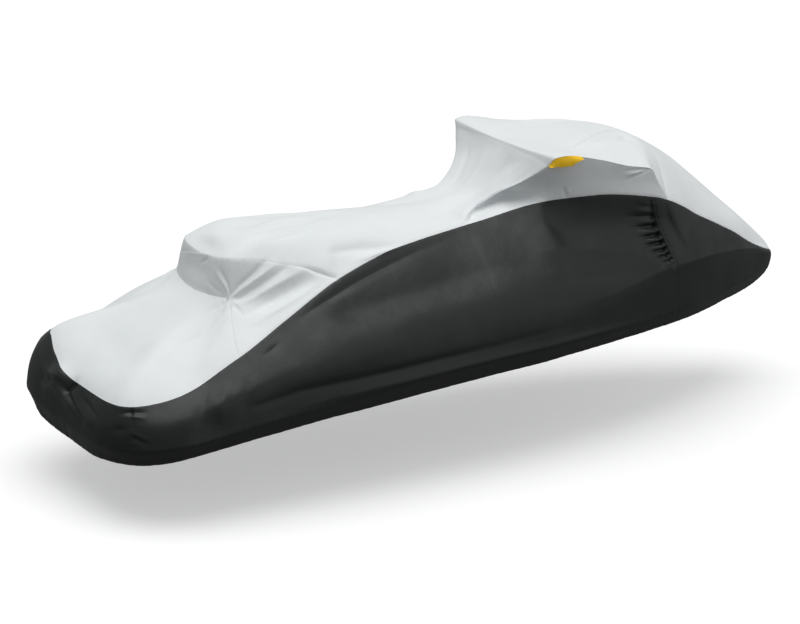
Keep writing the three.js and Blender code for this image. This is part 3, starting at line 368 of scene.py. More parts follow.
# Folds of the cloth, placed on the photo's creases: half widths and lifts at even steps along
# the path, and the path. A lift above 0 is a ridge, below 0 a trough. Y is negative to starboard
FOLDS = [
    # stern: the bump in its middle, the dents beside it and the folds it throws down and across
    ((44, 46, 34), (0, 20, 26, 12), [(38, 190, 478), (40, 110, 488), (42, 40, 484)]),
    ((22, 16), (-14, -7), [(26, 150, 458), (20, 100, 432)]),
    ((18, 14), (-17, -10), [(40, -22, 482), (26, 4, 448)]),
    ((26, 22), (-3, -9, 0), [(42, 262, 474), (32, 226, 440), (24, 180, 404)]),
    ((22, 28), (3, 13, 12, 0), [(42, 205, 484), (25, 54, 434), (12, -70, 400), (4, -160, 372)]),
    ((18, 22), (-5, -12, -9, 0), [(30, 36, 458), (20, -46, 428), (10, -130, 398), (6, -200, 376)]),
    ((18, 26), (5, 12, 8, 0), [(30, -30, 450), (14, -106, 418), (10, -180, 396), (10, -260, 376)]),
    ((14, 20), (0, -7, -5, 0), [(34, -80, 470), (26, -160, 446), (24, -240, 424), (26, -320, 404)]),
    # stern corner: short puckers on both sides of the corner seam
    ((12, 9), (-8, -3), [(90, -461, 378), (118, -492, 360)]),
    ((12, 9), (6, 2), [(92, -456, 390), (124, -488, 376)]),
    ((11, 15), (-7, 0), [(104, -412, 470), (166, -442, 455)]),
    ((11, 15), (-6, 0), [(100, -408, 468), (60, -362, 452)]),
    ((11, 15), (5, 0), [(104, -424, 452), (156, -454, 436)]),
    ((16, 24), (0, -6, 0), [(86, -440, 412), (60, -400, 400), (40, -350, 390)]),
    # deck: sag of the middle, and pulls that run down from the seat corners
    ((170,), (-24,), [(230, -130, 590), (250, 140, 600)]),
    ((7, 20), (-7, -6, 0), [(630, -226, 792), (585, -235, 758), (496, -252, 698)]),
    ((7, 16), (6, 5, 0), [(632, -238, 788), (600, -258, 760), (516, -270, 700)]),
    ((6, 14), (5, 4, 0), [(634, -214, 800), (600, -196, 780), (552, -178, 754)]),
    ((6, 18), (-5, -5, 0), [(633, -222, 797), (590, -205, 768), (512, -184, 734)]),
    ((10, 30), (-4, -6, -4, 0), [(622, -264, 772), (590, -262, 751), (470, -280, 692), (340, -292, 636)]),
    ((12, 38), (4, 5, 4, 0), [(628, -282, 764), (560, -322, 700), (470, -372, 630), (390, -404, 582)]),
    ((12, 34), (0, -4, -3, 0), [(624, -130, 792), (560, -124, 762), (430, -110, 700)]),
    ((12, 30), (4, 3, 0), [(628, 208, 800), (597, 190, 784), (500, 100, 740)]),
    ((10, 30), (-6, -5, 0), [(632, 232, 796), (560, 240, 748), (450, 250, 690)]),
    ((12, 34), (6, 5, 0), [(630, 250, 786), (540, 290, 715), (430, 316, 645)]),
    ((70, 90), (0, 5, 0), [(250, -250, 600), (330, -200, 650), (420, -150, 700)]),
    # seat back: hollow middle, a line along its top, drawn-in base and a fold to the lower corner
    ((60,), (-8,), [(622, -40, 870), (622, 70, 868)]),
    ((9,), (0, 4, 3, 0), [(632, 120, 908), (633, 40, 922), (635, -40, 936), (636, -100, 944)]),
    ((8, 6), (-6, -3), [(632, -58, 922), (628, -9, 894)]),
    ((13,), (0, -4, -5, -4, 0),
     [(615, 147, 800), (605, 77, 796), (600, 1, 796), (609, -109, 798), (623, -190, 802)]),
    ((10, 6), (0, 5, 7, 3), [(634, -118, 908), (630, -157, 878), (640, -197, 846), (640, -222, 808)]),
    ((10, 6), (0, -5, -6, -3), [(636, -152, 912), (638, -186, 880), (644, -212, 838), (641, -227, 810)]),
    ((10, 7), (0, -3, -4, 0), [(626, -60, 850), (622, -110, 832), (628, -170, 815), (636, -212, 803)]),
    # starboard seat side: creases that fan forward from the lower seat corner
    ((6, 16), (-5, -10, -9, -3), [(645, -226, 815), (680, -232, 850), (740, -232, 888), (805, -222, 922)]),
    ((6, 14), (5, 10, 9, 3), [(650, -234, 806), (690, -244, 836), (760, -246, 872), (836, -236, 906)]),
    ((8, 20), (-4, -10, -10, -4), [(662, -248, 800), (705, -260, 824), (790, -264, 860), (880, -254, 894)]),
    ((14, 26), (3, 11, 11, 3), [(668, -274, 784), (740, -290, 816), (850, -292, 856), (950, -282, 884)]),
    ((24, 50), (-4, -17, -18, -4),
     [(680, -322, 758), (770, -320, 798), (880, -318, 834), (985, -310, 862)]),
    ((14, 24), (2, 7, 6, 2), [(680, -374, 733), (790, -368, 774), (900, -350, 808), (1010, -328, 845)]),
    ((8, 14), (0, -5, -9, -5), [(900, -252, 905), (960, -275, 888), (1030, -315, 862), (1068, -338, 850)]),
    ((8, 12), (-5, 0), [(648, -262, 780), (660, -330, 730)]),
    ((8, 14), (4, 0), [(650, -250, 786), (672, -300, 752)]),
    # port seat side
    ((8, 16), (-5, -9, -3), [(650, 226, 815), (740, 234, 884), (820, 226, 915)]),
    ((8, 18), (6, 10, 3), [(655, 234, 808), (760, 246, 868), (850, 240, 902)]),
    ((12, 36), (-4, -11, -4), [(670, 262, 800), (820, 296, 826), (960, 302, 862)]),
    ((14, 26), (3, 7, 2), [(676, 340, 752), (830, 352, 790), (1000, 330, 842)]),
    # seat top: long soft ridges with troughs between them, and a dent over each edge
    ((14, 26), (0, 6, 6, 2), [(800, -58, 1014), (880, -36, 1015), (1010, 12, 1012), (1150, 40, 1004)]),
    ((11, 20), (0, -6, -6, -2),
     [(775, -130, 1006), (850, -104, 1012), (940, -78, 1014), (1123, -50, 1008)]),
    ((11, 24), (0, 7, 6, 0), [(800, -156, 1004), (900, -128, 1008), (1040, -97, 1008), (1323, 0, 996)]),
    ((11, 20), (0, -5, -4, 0), [(826, -180, 994), (960, -158, 998), (1120, -126, 1000), (1240, -90, 998)]),
    ((34,), (0, -6, -4, 0), [(860, 110, 1008), (980, 106, 1006), (1240, 90, 998)]),
    ((16, 30), (0, 5, 0), [(880, 150, 1000), (1020, 146, 998), (1200, 130, 994)]),
    ((18, 34, 22), (0, -8, -12, -9, 0),
     [(1060, -262, 930), (1134, -249, 930), (1235, -246, 924), (1329, -258, 920), (1430, -262, 924)]),
    ((11, 16), (0, 6, 7, 0), [(1150, -296, 892), (1240, -288, 900), (1340, -280, 908), (1430, -274, 918)]),
    ((48,), (0, -11, -8, 0), [(1120, 250, 935), (1250, 245, 936), (1400, 240, 935)]),
    ((16, 24), (0, -5, 0), [(1500, -210, 945), (1650, -196, 952), (1800, -170, 966)]),
    ((12, 20), (0, 5, 0), [(1540, -160, 960), (1700, -140, 968), (1830, -110, 988)]),
    ((16, 24), (0, -5, 0), [(1480, 150, 962), (1640, 140, 966), (1800, 100, 985)]),
    # slope behind the handlebar: upright slack folds
    ((16, 26), (0, -5, -6, 0),
     [(1850, -50, 1006), (1950, -72, 1062), (2016, -92, 1130), (2046, -112, 1180)]),
    ((14, 24), (0, 5, 5, 0),
     [(1850, -104, 1000), (1940, -126, 1044), (2014, -156, 1110), (2050, -200, 1176)]),
    ((14, 22), (0, -5, -4, 0),
     [(1900, -150, 1010), (1970, -200, 1050), (2030, -250, 1120), (2058, -290, 1176)]),
    ((16, 26), (0, 5, 4, 0), [(1850, 20, 1010), (1950, 40, 1066), (2010, 60, 1130), (2044, 90, 1180)]),
    ((16, 24), (0, -5, -5, 0), [(1860, 90, 1004), (1950, 120, 1050), (2020, 170, 1120), (2052, 220, 1180)]),
    # hood: grip knob, trough under the rim, faint trough on top, and creases towards the bow
    ((20,), (6, 4), [(2097, 378, 1222), (2142, 350, 1230)]),
    ((34, 56, 40), (-1, -9, -11, -8, -1),
     [(2070, 330, 1203), (2062, 200, 1199), (2058, 40, 1198), (2062, -144, 1204), (2074, -296, 1216)]),
    ((22, 30), (0, -5, -4, 0),
     [(2200, 243, 1220), (2221, 78, 1220), (2215, -82, 1221), (2190, -200, 1222)]),
    ((7, 12), (-2, -11, -13, -9, -1),
     [(2215, -266, 1218), (2300, -217, 1219), (2383, -171, 1216), (2500, -90, 1208), (2612, -17, 1197)]),
    ((9, 16), (1, 9, 8, 0),
     [(2236, -282, 1216), (2400, -200, 1212), (2540, -108, 1203), (2625, -48, 1193)]),
    ((8, 12), (0, -7, -10, -3), [(2343, -254, 1214), (2468, -196, 1208), (2608, -112, 1196)]),
    ((8, 12), (0, 7, 7, 0), [(2400, -246, 1209), (2500, -204, 1204), (2590, -160, 1196)]),
    ((8, 10), (0, -6, -8, 0), [(2500, -236, 1199), (2550, -206, 1196), (2606, -160, 1190)]),
    ((10, 16), (0, -7, -5, 0), [(2240, 240, 1218), (2400, 170, 1212), (2580, 90, 1198)]),
    ((12, 18), (0, 5, 4, 0), [(2280, 260, 1212), (2440, 200, 1206), (2590, 130, 1194)]),
    ((16, 22), (0, -3, 0), [(2573, -122, 1197), (2600, -190, 1182), (2613, -250, 1165)]),
    # grip gussets: corner creases under the seam, the inner edge of the shelf and its short folds
    ((5, 8), (0, -4, -6, -2), [(2410, -406, 1136), (2470, -408, 1134), (2551, -411, 1126)]),
    ((6, 8), (0, -4, -5, -1), [(2430, -404, 1090), (2490, -408, 1108), (2540, -411, 1124)]),
    ((8,), (0, 4, 4, 0), [(2420, -404, 1114), (2490, -409, 1122), (2535, -411, 1126)]),
    ((6, 9), (0, -6, -5, 0),
     [(2164, -340, 1096), (2160, -350, 1080), (2162, -356, 1052), (2166, -346, 1034)]),
    ((7,), (0, 4, 0), [(2180, -352, 1088), (2178, -362, 1062), (2182, -352, 1040)]),
    ((8,), (-5, 0), [(2072, -300, 1048), (2092, -320, 1030)]),
    ((16, 14), (0, -5, 0), [(2440, 404, 1136), (2500, 408, 1120), (2550, 412, 1104)]),
    # starboard side: the crease along the seat, the ridge and the trough under the grip, and others
    ((16, 26), (0, -6, -9, -8, -3, 0),
     [(820, -436, 730), (960, -408, 782), (1120, -372, 826), (1300, -338, 868), (1480, -306, 900),
      (1640, -290, 925)]),
    ((34, 44), (0, 4, 5, 2), [(1960, -430, 850), (2140, -462, 862), (2300, -496, 838), (2480, -496, 800)]),
    ((24, 36), (0, -3, -4, 0),
     [(1900, -520, 750), (2150, -545, 752), (2350, -530, 740), (2520, -506, 720)]),
    ((12, 16), (0, -5, 0), [(635, -501, 633), (690, -490, 656), (740, -480, 676)]),
    ((26, 38), (0, -6, -7, 0), [(400, -490, 540), (350, -530, 470), (310, -566, 410)]),
    ((24, 34), (0, 6, 6, 0), [(480, -510, 556), (430, -545, 480), (390, -580, 420)]),
    ((26, 36), (0, -5, -5, 0), [(560, -520, 570), (520, -560, 490), (490, -590, 430)]),
]

# Folds that both sides have, as above, with y as the distance out: the ridge low down, the valley over
# it, the belly, the hollow higher up and the undercut by the gusset, deeper to starboard
SIDE_FOLDS = [
    ((20,), (0, 8, 8, 8, 0),
     [(640, 604, 420), (860, 611, 450), (1204, 613, 470), (1690, 600, 492), (2217, 555, 504),
      (2500, 500, 500)]),
    ((24, 28), (-4, -10, -10, -5, 0),
     [(560, 596, 470), (748, 603, 500), (1204, 612, 516), (1690, 600, 540), (2100, 570, 570)]),
    ((60,), (8,), [(400, 572, 500), (757, 587, 568), (1216, 591, 620)]),
    ((110,), (-20, -20, -14, -6, 0),
     [(1050, 460, 735), (1400, 446, 770), (1700, 430, 800), (1950, 470, 800), (2250, 505, 790)]),
]
UNDERCUT_WIDTHS = (70, 100, 90)
UNDERCUT_PATH = [(1990, 330, 935), (2140, 395, 945), (2320, 435, 935), (2520, 452, 910), (2760, 395, 850)]
UNDERCUT_LIFTS = {-1: (0, -12, -24, -26, -16, 0), 1: (0, -10, -20, -20, -12, 0)}

# The bow seam is drawn in by elastic, which throws puckers aft. A row is the height at which a pucker
# leaves the seam, its lift, how far aft it reaches and how much it rises on the way
BOW_SEAM_WIDTHS, BOW_SEAM_LIFTS = (14, 12), (-7, -16, -17, -16, -6)
BOW_SEAM_PATH = [(2640, 484, 722), (2616, 477, 775), (2589, 461, 863), (2566, 444, 950), (2558, 434, 985)]
BOW_PUCKER_WIDTHS = (8, 10, 20)
BEND_REACH, BEND_RISE, BEND_LIFT = 0.4, 0.3, 0.8    # shares of each at a pucker's bend
BEND_OUT, END_OUT = 1, 3        # how far further out its bend and its end lie
BOW_PUCKERS = [
    (968, -3, 110, 26), (949, 4, 90, 16), (930, -7, 150, 22), (908, 9, 90, 8), (889, -12, 165, 14),
    (868, 11, 100, 4), (850, -15, 145, 3), (833, 13, 80, -2), (818, -16, 155, -5), (802, 13, 70, -5),
    (788, -15, 115, -9), (775, 11, 60, -8), (763, -14, 95, -13), (751, 10, 50, -9), (741, -12, 72, -14),
    (730, 8, 45, -10),
]


def side_folds(side):
    """Folds of the starboard, -1, or the port side, 1. A pucker runs aft from the bow seam and ends
    flat. The port ones start and end a little elsewhere."""
    folds = SIDE_FOLDS + [(UNDERCUT_WIDTHS, UNDERCUT_LIFTS[side], UNDERCUT_PATH),
                          (BOW_SEAM_WIDTHS, BOW_SEAM_LIFTS, BOW_SEAM_PATH)]
    seam_x, seam_out, seam_height = np.transpose(BOW_SEAM_PATH)
    for order, (height, lift, reach, rise) in enumerate(BOW_PUCKERS):
        if side > 0:
            height -= (order * 5) % 7 - 3
            reach *= 0.85 + 0.075 * ((order * 3) % 5)
        x, out = np.interp(height, seam_height, seam_x), np.interp(height, seam_height, seam_out)
        folds.append((BOW_PUCKER_WIDTHS, (lift, BEND_LIFT * lift, 0), [
            (x, out, height), (x - BEND_REACH * reach, out + BEND_OUT, height + BEND_RISE * rise),
            (x - reach, out + END_OUT, height + rise)]))
    return [(widths, lifts, [(x, side * out, height) for x, out, height in path])
            for widths, lifts, path in folds]


LAY_REACH = 30                  # how far off the cloth a path's point may lie and still be laid on it


def laid_on_cloth(folds):
    """The folds with each point of their paths moved to the nearest place of the cover's plain surface,
    on either side. A point that is farther off than the reach stays where it is."""
    stations, acrosses = stations_between(0, BOW_TIP), lines_between(FOLD_LINE, SPINE_LINE)
    grids = [cover_surface(stations, acrosses, 1), port_side(cover_surface(stations, acrosses, -1))]
    index = np.arange(2 * len(stations) * len(acrosses)).reshape(2, len(stations), len(acrosses))
    quads = np.stack([index[:, :-1, :-1], index[:, 1:, :-1], index[:, 1:, 1:], index[:, :-1, 1:]], axis=-1)
    surface = BVHTree.FromPolygons(np.reshape(grids, (-1, 3)).tolist(), quads.reshape(-1, 4).tolist())
    laid = []
    for widths, lifts, path in folds:
        stops = [surface.find_nearest(point, LAY_REACH)[0] or point for point in path]
        laid.append((widths, lifts, np.array(stops, float)))
    return laid


cloth_folds = laid_on_cloth(FOLDS + side_folds(-1) + side_folds(1))
FOLD_REACH = 4                  # how many half widths away a fold still lifts the cloth
CREST = 0.5                     # radius of a fold's round crest, as a share of its half width


def fold_lift(points):
    """Height of all folds at each point. Across its path a fold falls off as the exponential of one
    less a hyperbola, which is round at the crest and straight beside it. Its width and height change
    evenly between the steps along the path."""
    lift = np.zeros(points.shape[:-1])
    for widths, lifts, stops in cloth_folds:
        reach = FOLD_REACH * max(widths)
        near = np.all((points > stops.min(axis=0) - reach) & (points < stops.max(axis=0) + reach), axis=-1)
        if not near.any():
            continue
        place = points[near]
        runs = np.diff(stops, axis=0)
        lengths = np.linalg.norm(runs, axis=1)
        starts = np.concatenate([[0], np.cumsum(lengths)[:-1]])
        best = np.full(len(place), np.inf)
        along = np.zeros(len(place))
        for start, run, length, gone in zip(stops[:-1], runs, lengths, starts):
            share = np.clip((place - start) @ run / length**2, 0, 1)
            distance = np.linalg.norm(place - start - share[:, None] * run, axis=1)
            closer = distance < best
            best[closer] = distance[closer]
            along[closer] = (gone + share * length)[closer] / lengths.sum()
        width = np.interp(along, np.linspace(0, 1, len(widths)), widths)
        height = np.interp(along, np.linspace(0, 1, len(lifts)), lifts)
        lift[near] += height * np.exp(1 - np.sqrt(1 + (best / (CREST * width)) ** 2))
    return lift


DRAPE_SEED = 11
DRAPE_WAVES = ((420, 1.2, 5), (190, 0.55, 6), (95, 0.13, 6))    # length, height, how many
LENGTH_SPREAD = (0.8, 1.25)


def drape_unevenness(points):
    """A slow uneven wave of the slack cloth: a sum of plane waves that run in seeded directions, in
    three sizes whose heights shrink with their lengths."""
    chance = np.random.default_rng(DRAPE_SEED)
    total = np.zeros(points.shape[:-1])
    for length, height, count in DRAPE_WAVES:
        for _ in range(count):
            way = chance.normal(size=3)
            way *= 2 * math.pi / (length * chance.uniform(*LENGTH_SPREAD) * np.linalg.norm(way))
            total += height * math.sqrt(2 / count) * np.sin(points @ way + chance.uniform(0, 2 * math.pi))
    return total


# Seams: a groove where two panels are sewn together, and the small puckers that the thread draws in
SEAM_DEPTH, SEAM_HALF_WIDTH = 1.6, 4.5
PUCKER_HEIGHT, PUCKER_REACH = 0.7, 16.0
PUCKERS = ((27.0, 0.5, 1.3), (17.0, 0.3, 0.4), (43.0, 0.45, 2.2))   # wave length, share of height, phase


def seam_lift(distance, along):
    """Depth of a seam's groove, a bell of the distance to the seam, and height of its puckers, waves
    of the place along the seam that fade away from it."""
    wave = sum(share * np.sin(2 * math.pi * along / length + phase) for length, share, phase in PUCKERS)
    return (-SEAM_DEPTH * np.exp(-((distance / SEAM_HALF_WIDTH) ** 2))
            + PUCKER_HEIGHT * wave * np.exp(-distance / PUCKER_REACH))


def run_length(points, axis):
    """Length of the grid lines along one axis, counted from their first point."""
    steps = np.linalg.norm(np.diff(points, axis=axis), axis=-1)
    return np.insert(np.cumsum(steps, axis=axis), 0, 0, axis=axis)


def cloth_grid(stations, acrosses, side, low=None, high=None, start=False, end=False):
    """One grid of a panel, on starboard, 1, or port, -1. low and high tell how far beyond the grid's
    lower and upper border a seam lies at each station, or None, and start and end say whether the
    first and last stations are seams. The folds and seams lift the points along their normals."""
    base = cover_surface(stations, acrosses, side)
    normals = cover_normals(stations, acrosses, side)
    along = run_length(base, 0)
    upward = run_length(base, 1)
    if side < 0:
        base = port_side(base)
        normals = normals * [1, -1, 1]
    lift = fold_lift(base) + drape_unevenness(base)
    seams = []
    if low is not None:
        seams.append((upward + low[:, None], along[:, :1]))
    if high is not None:
        seams.append((upward[:, -1:] - upward + high[:, None], along[:, -1:]))
    if start:
        seams.append((along, upward[:1]))
    if end:
        seams.append((along[-1:] - along, upward[-1:]))
    if seams:
        distances = np.stack([np.broadcast_to(distance, lift.shape) for distance, _ in seams])
        lifts = np.stack([seam_lift(distance, np.broadcast_to(place, lift.shape))
                          for distance, place in seams])
        lift = lift + np.take_along_axis(lifts, distances.argmin(axis=0)[None], axis=0)[0]
    return {"points": base + normals * lift[..., None], "normals": normals,
            "uv": np.stack([along, side * upward], axis=-1), "side": side}


CLOTH = 2.0                     # thickness of the coated cloth with its backing
WELDS_PER_MM = 50               # points that round to the same fiftieth are welded


def cloth_panel(name, grids, thickness=CLOTH):
    """A closed sheet from its grids: points that meet are welded, the inner face lies one thickness
    inside the outer one, and a wall of quads closes the rim, whose edges are marked sharp."""
    points = np.concatenate([grid["points"].reshape(-1, 3) for grid in grids])
    normals = np.concatenate([grid["normals"].reshape(-1, 3) for grid in grids])
    uv = np.concatenate([grid["uv"].reshape(-1, 2) for grid in grids]) * MM
    quads, first = [], 0
    for grid in grids:
        rows, columns = grid["points"].shape[:2]
        index = first + np.arange(rows * columns).reshape(rows, columns)
        quad = np.stack([index[:-1, :-1], index[1:, :-1], index[1:, 1:], index[:-1, 1:]], axis=-1)
        quad = quad.reshape(-1, 4)
        quads.append(quad if grid["side"] > 0 else quad[:, ::-1])
        first += rows * columns
    quads = np.concatenate(quads)
    _, kept, welded = np.unique(np.round(points * WELDS_PER_MM).astype(np.int64), axis=0, return_index=True,
                                return_inverse=True)
    welded = welded.reshape(-1)
    outer = (points[kept] - SEAT_REST) * MM
    inner = outer - normals[kept] * thickness * MM
    faces = welded[quads]
    same = faces == np.roll(faces, -1, axis=1)
    triangles = same.sum(axis=1) == 1
    whole = same.sum(axis=1) == 0
    order = np.argsort(same[triangles], axis=1, kind="stable")[:, :3]
    order.sort(axis=1)
    corner_faces = np.take_along_axis(faces[triangles], order, axis=1)
    corner_quads = np.take_along_axis(quads[triangles], order, axis=1)
    count = len(outer)
    edges = np.concatenate([
        np.stack([faces[whole], np.roll(faces[whole], -1, axis=1)], axis=-1).reshape(-1, 2),
        np.stack([corner_faces, np.roll(corner_faces, -1, axis=1)], axis=-1).reshape(-1, 2)])
    edge_uv = np.concatenate([quads[whole].reshape(-1), corner_quads.reshape(-1)])
    keys = edges[:, 0] * count + edges[:, 1]
    rim = ~np.isin(keys, edges[:, 1] * count + edges[:, 0])
    a, b = edges[rim].T
    walls = np.stack([b, a, a + count, b + count], axis=-1)
    wall_uv = np.repeat(edge_uv[rim], 4).reshape(-1, 4)
    corners = np.concatenate([
        faces[whole].reshape(-1), (faces[whole] + count)[:, ::-1].reshape(-1), walls.reshape(-1),
        corner_faces.reshape(-1), (corner_faces + count)[:, ::-1].reshape(-1)])
    corner_uv = np.concatenate([
        quads[whole].reshape(-1), quads[whole][:, ::-1].reshape(-1), wall_uv.reshape(-1),
        corner_quads.reshape(-1), corner_quads[:, ::-1].reshape(-1)])
    sizes = np.concatenate([np.full(2 * whole.sum() + rim.sum(), 4), np.full(2 * triangles.sum(), 3)])
    mesh = bpy.data.meshes.new(name)
    mesh.vertices.add(2 * count)
    mesh.vertices.foreach_set("co", np.concatenate([outer, inner]).astype(np.float32).reshape(-1))
    mesh.loops.add(len(corners))
    mesh.loops.foreach_set("vertex_index", corners.astype(np.int32))
    mesh.polygons.add(len(sizes))
    mesh.polygons.foreach_set("loop_start", np.concatenate([[0], np.cumsum(sizes)[:-1]]).astype(np.int32))
    mesh.update(calc_edges=True)
    mesh.uv_layers.new(name="cloth").data.foreach_set("uv", uv[corner_uv].astype(np.float32).reshape(-1))
    mesh.polygons.foreach_set("use_smooth", np.ones(len(sizes), bool))
    made = np.zeros(2 * len(mesh.edges), np.int32)
    mesh.edges.foreach_get("vertices", made)
    made = np.sort(made.reshape(-1, 2), axis=1)
    hard = np.sort(np.concatenate([edges[rim], edges[rim] + count]), axis=1)
    width = 2 * count
    sharp = np.isin(made[:, 0].astype(np.int64) * width + made[:, 1], hard[:, 0] * width + hard[:, 1])
    mesh.attributes.new("sharp_edge", "BOOLEAN", "EDGE").data.foreach_set("value", sharp)
    mesh.validate()
    panel = bpy.data.objects.new(name, mesh)
    scene.collection.objects.link(panel)
    return panel


# The weave, in metres between ribs and from crest to trough, and the patches and crumples of the
# coating, in scales of noise and metres deep
RIB_PITCH, RIB_DEPTH = 0.0016, 0.00002
WEAVE_TONE = 0.1                # how much of the drift between pale and deep the weave takes
CRUMPLE_SCALE, CRUMPLE_DEPTH = 22.0, 0.0011
FINE_CRUMPLE_SCALE, FINE_CRUMPLE_DEPTH = 75.0, 0.00035
TONE_PATCH_SCALE, SHINE_PATCH_SCALE = 3.5, 9.0
SHINE_SPREAD = (-0.05, 0.06)    # how far the roughness drifts
SHEEN_ROUGH = 0.4
WEAVE_STRENGTH = 0.6


def woven_polyester(name, pale, deep, rough, sheen, gloss):
    """Coated woven cloth: two crossed sets of ribs on the cloth's own UV map, in metres, over two
    sizes of crumple noise, and a colour that drifts a little between pale and deep."""
    paint = bpy.data.materials.new(name)
    paint.use_nodes = True
    nodes, links = paint.node_tree.nodes, paint.node_tree.links
    shader = nodes["Principled BSDF"]
    shader.inputs["Specular IOR Level"].default_value = gloss
    shader.inputs["Sheen Weight"].default_value = sheen
    shader.inputs["Sheen Roughness"].default_value = SHEEN_ROUGH
    place = nodes.new("ShaderNodeTexCoord")
    layout = nodes.new("ShaderNodeUVMap")
    layout.uv_map = "cloth"

    def noise(scale, detail, roughness=0.5):
        """Noise on the object's coordinates."""
        node = nodes.new("ShaderNodeTexNoise")
        node.inputs["Scale"].default_value = scale
        node.inputs["Detail"].default_value = detail
        node.inputs["Roughness"].default_value = roughness
        links.new(place.outputs["Object"], node.inputs["Vector"])
        return node.outputs["Fac"]

    def remap(value, low, high, from_low=0.3, from_high=0.7):
        """A value taken from one range to another."""
        node = nodes.new("ShaderNodeMapRange")
        node.inputs["From Min"].default_value = from_low
        node.inputs["From Max"].default_value = from_high
        node.inputs["To Min"].default_value = low
        node.inputs["To Max"].default_value = high
        links.new(value, node.inputs["Value"])
        return node.outputs["Result"]

    def ribs(direction):
        """A sine wave across one set of threads. At scale 1 the node's wave is 2 pi / 20 long."""
        node = nodes.new("ShaderNodeTexWave")
        node.bands_direction = direction
        node.inputs["Scale"].default_value = 2 * math.pi / (20 * RIB_PITCH)
        links.new(layout.outputs["UV"], node.inputs["Vector"])
        return node.outputs["Fac"]

    def bump(height, distance, strength, normal=None):
        """A bump of a height field, on top of an earlier one."""
        node = nodes.new("ShaderNodeBump")
        node.inputs["Distance"].default_value = distance
        node.inputs["Strength"].default_value = strength
        links.new(height, node.inputs["Height"])
        if normal is not None:
            links.new(normal, node.inputs["Normal"])
        return node.outputs["Normal"]

    weave = nodes.new("ShaderNodeMath")
    weave.operation = "MULTIPLY"
    links.new(ribs("X"), weave.inputs[0])
    links.new(ribs("Y"), weave.inputs[1])
    drift = nodes.new("ShaderNodeMath")
    drift.operation = "MULTIPLY_ADD"
    links.new(weave.outputs["Value"], drift.inputs[0])
    drift.inputs[1].default_value = WEAVE_TONE
    links.new(remap(noise(TONE_PATCH_SCALE, 4), 0, 1 - WEAVE_TONE), drift.inputs[2])
    tone = nodes.new("ShaderNodeMixRGB")
    tone.inputs["Color1"].default_value = (*deep, 1)
    tone.inputs["Color2"].default_value = (*pale, 1)
    links.new(drift.outputs["Value"], tone.inputs["Fac"])
    links.new(tone.outputs["Color"], shader.inputs["Base Color"])
    shine = remap(noise(SHINE_PATCH_SCALE, 3), rough + SHINE_SPREAD[0], rough + SHINE_SPREAD[1])
    links.new(shine, shader.inputs["Roughness"])
    crumple = bump(noise(CRUMPLE_SCALE, 2), CRUMPLE_DEPTH, 1.0)
    fine = bump(noise(FINE_CRUMPLE_SCALE, 3, 0.6), FINE_CRUMPLE_DEPTH, 1.0, crumple)
    links.new(bump(weave.outputs["Value"], RIB_DEPTH, WEAVE_STRENGTH, fine), shader.inputs["Normal"])
    return paint


SILVER_PALE, SILVER_DEEP = (0.79, 0.815, 0.82), (0.75, 0.78, 0.785)
silver_cloth = woven_polyester("silver_cloth", SILVER_PALE, SILVER_DEEP, 0.55, 0.1, 0.35)


def finish_panel(panel, node, paint):
    """Rides the panel on the cover, in place of its CAD node, with its paint."""
    panel.data.materials.append(paint)
    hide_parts(node)
    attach(panel, "root")


all_stations = stations_between(0, BOW_TIP)
seat_strip = stations_between(SEAT_SIDE_END, GRIP_START)
bow_strip = stations_between(GRIP_END, BOW_TIP)
strip_lines = lines_between(BOUNDARY_LINE, EDGE_LINE, PINCH_STEPS)[::2]
in_strip = ((all_stations > SEAT_SIDE_END) & (all_stations < GRIP_START)) | (all_stations > GRIP_END)
top_grids = []
for side in (1, -1):
    strip_width = run_length(cover_surface(all_stations, strip_lines, side), 1)[:, -1]
    edge_to_seam = np.where(in_strip, strip_width, 0.0)
    top_grids += [
        cloth_grid(all_stations, lines_between(EDGE_LINE, SPINE_LINE), side, low=edge_to_seam),
        cloth_grid(seat_strip, strip_lines, side, low=np.zeros(len(seat_strip)), start=True, end=True),
        cloth_grid(bow_strip, strip_lines, side, low=np.zeros(len(bow_strip)), start=True)]
finish_panel(cloth_panel("top_cloth", top_grids), "top_panel", silver_cloth)


# Seat back panel: the upright silver panel behind the seat, sewn to the seat top above and to the deck
# panel below, where its seam is drawn in
def sew(name, node, paint, stations, lines, across=False):
    """A panel with seams along its edges: one across the centre plane, or else one on each side."""
    seamed = np.zeros(len(stations))
    grids = [cloth_grid(stations, lines, side, seamed, seamed, start=not across, end=True)
             for side in (1, -1)]
    if across:
        finish_panel(cloth_panel(name, grids), node, paint)
        return
    for grid, where in zip(grids, ("starboard", "port")):
        finish_panel(cloth_panel(f"{name}_{where}", [grid]), f"{node}_{where}", paint)


back_stations = stations_between(0, SEAT_CORNER)
sew("seat_back_cloth", "seat_back_panel", silver_cloth, back_stations,
    lines_between(WAIST_LINE, EDGE_LINE), across=True)


# Deck panel: the broad silver panel that slopes from the seat back down to the stern, sewn to the seat
# back above and to the side and stern panels below
sew("deck_cloth", "deck_panel", silver_cloth, back_stations,
    lines_between(BOUNDARY_LINE, WAIST_LINE), across=True)


# Seat side panels: silver wedges along the seat, from its rear corner forward, full of the creases that
# fan out from the corner
wedge_lines = lines_between(BOUNDARY_LINE, EDGE_LINE)
sew("seat_side_cloth", "seat_side_panel", silver_cloth,
    stations_between(SEAT_CORNER, SEAT_SIDE_END), wedge_lines)


# Grip gussets: the silver panels under the handlebar grips, whose upper edge is the sharp fold along
# the hood and which stand in its shade
sew("grip_gusset_cloth", "grip_gusset", silver_cloth,
    stations_between(GRIP_START, GRIP_END), wedge_lines)


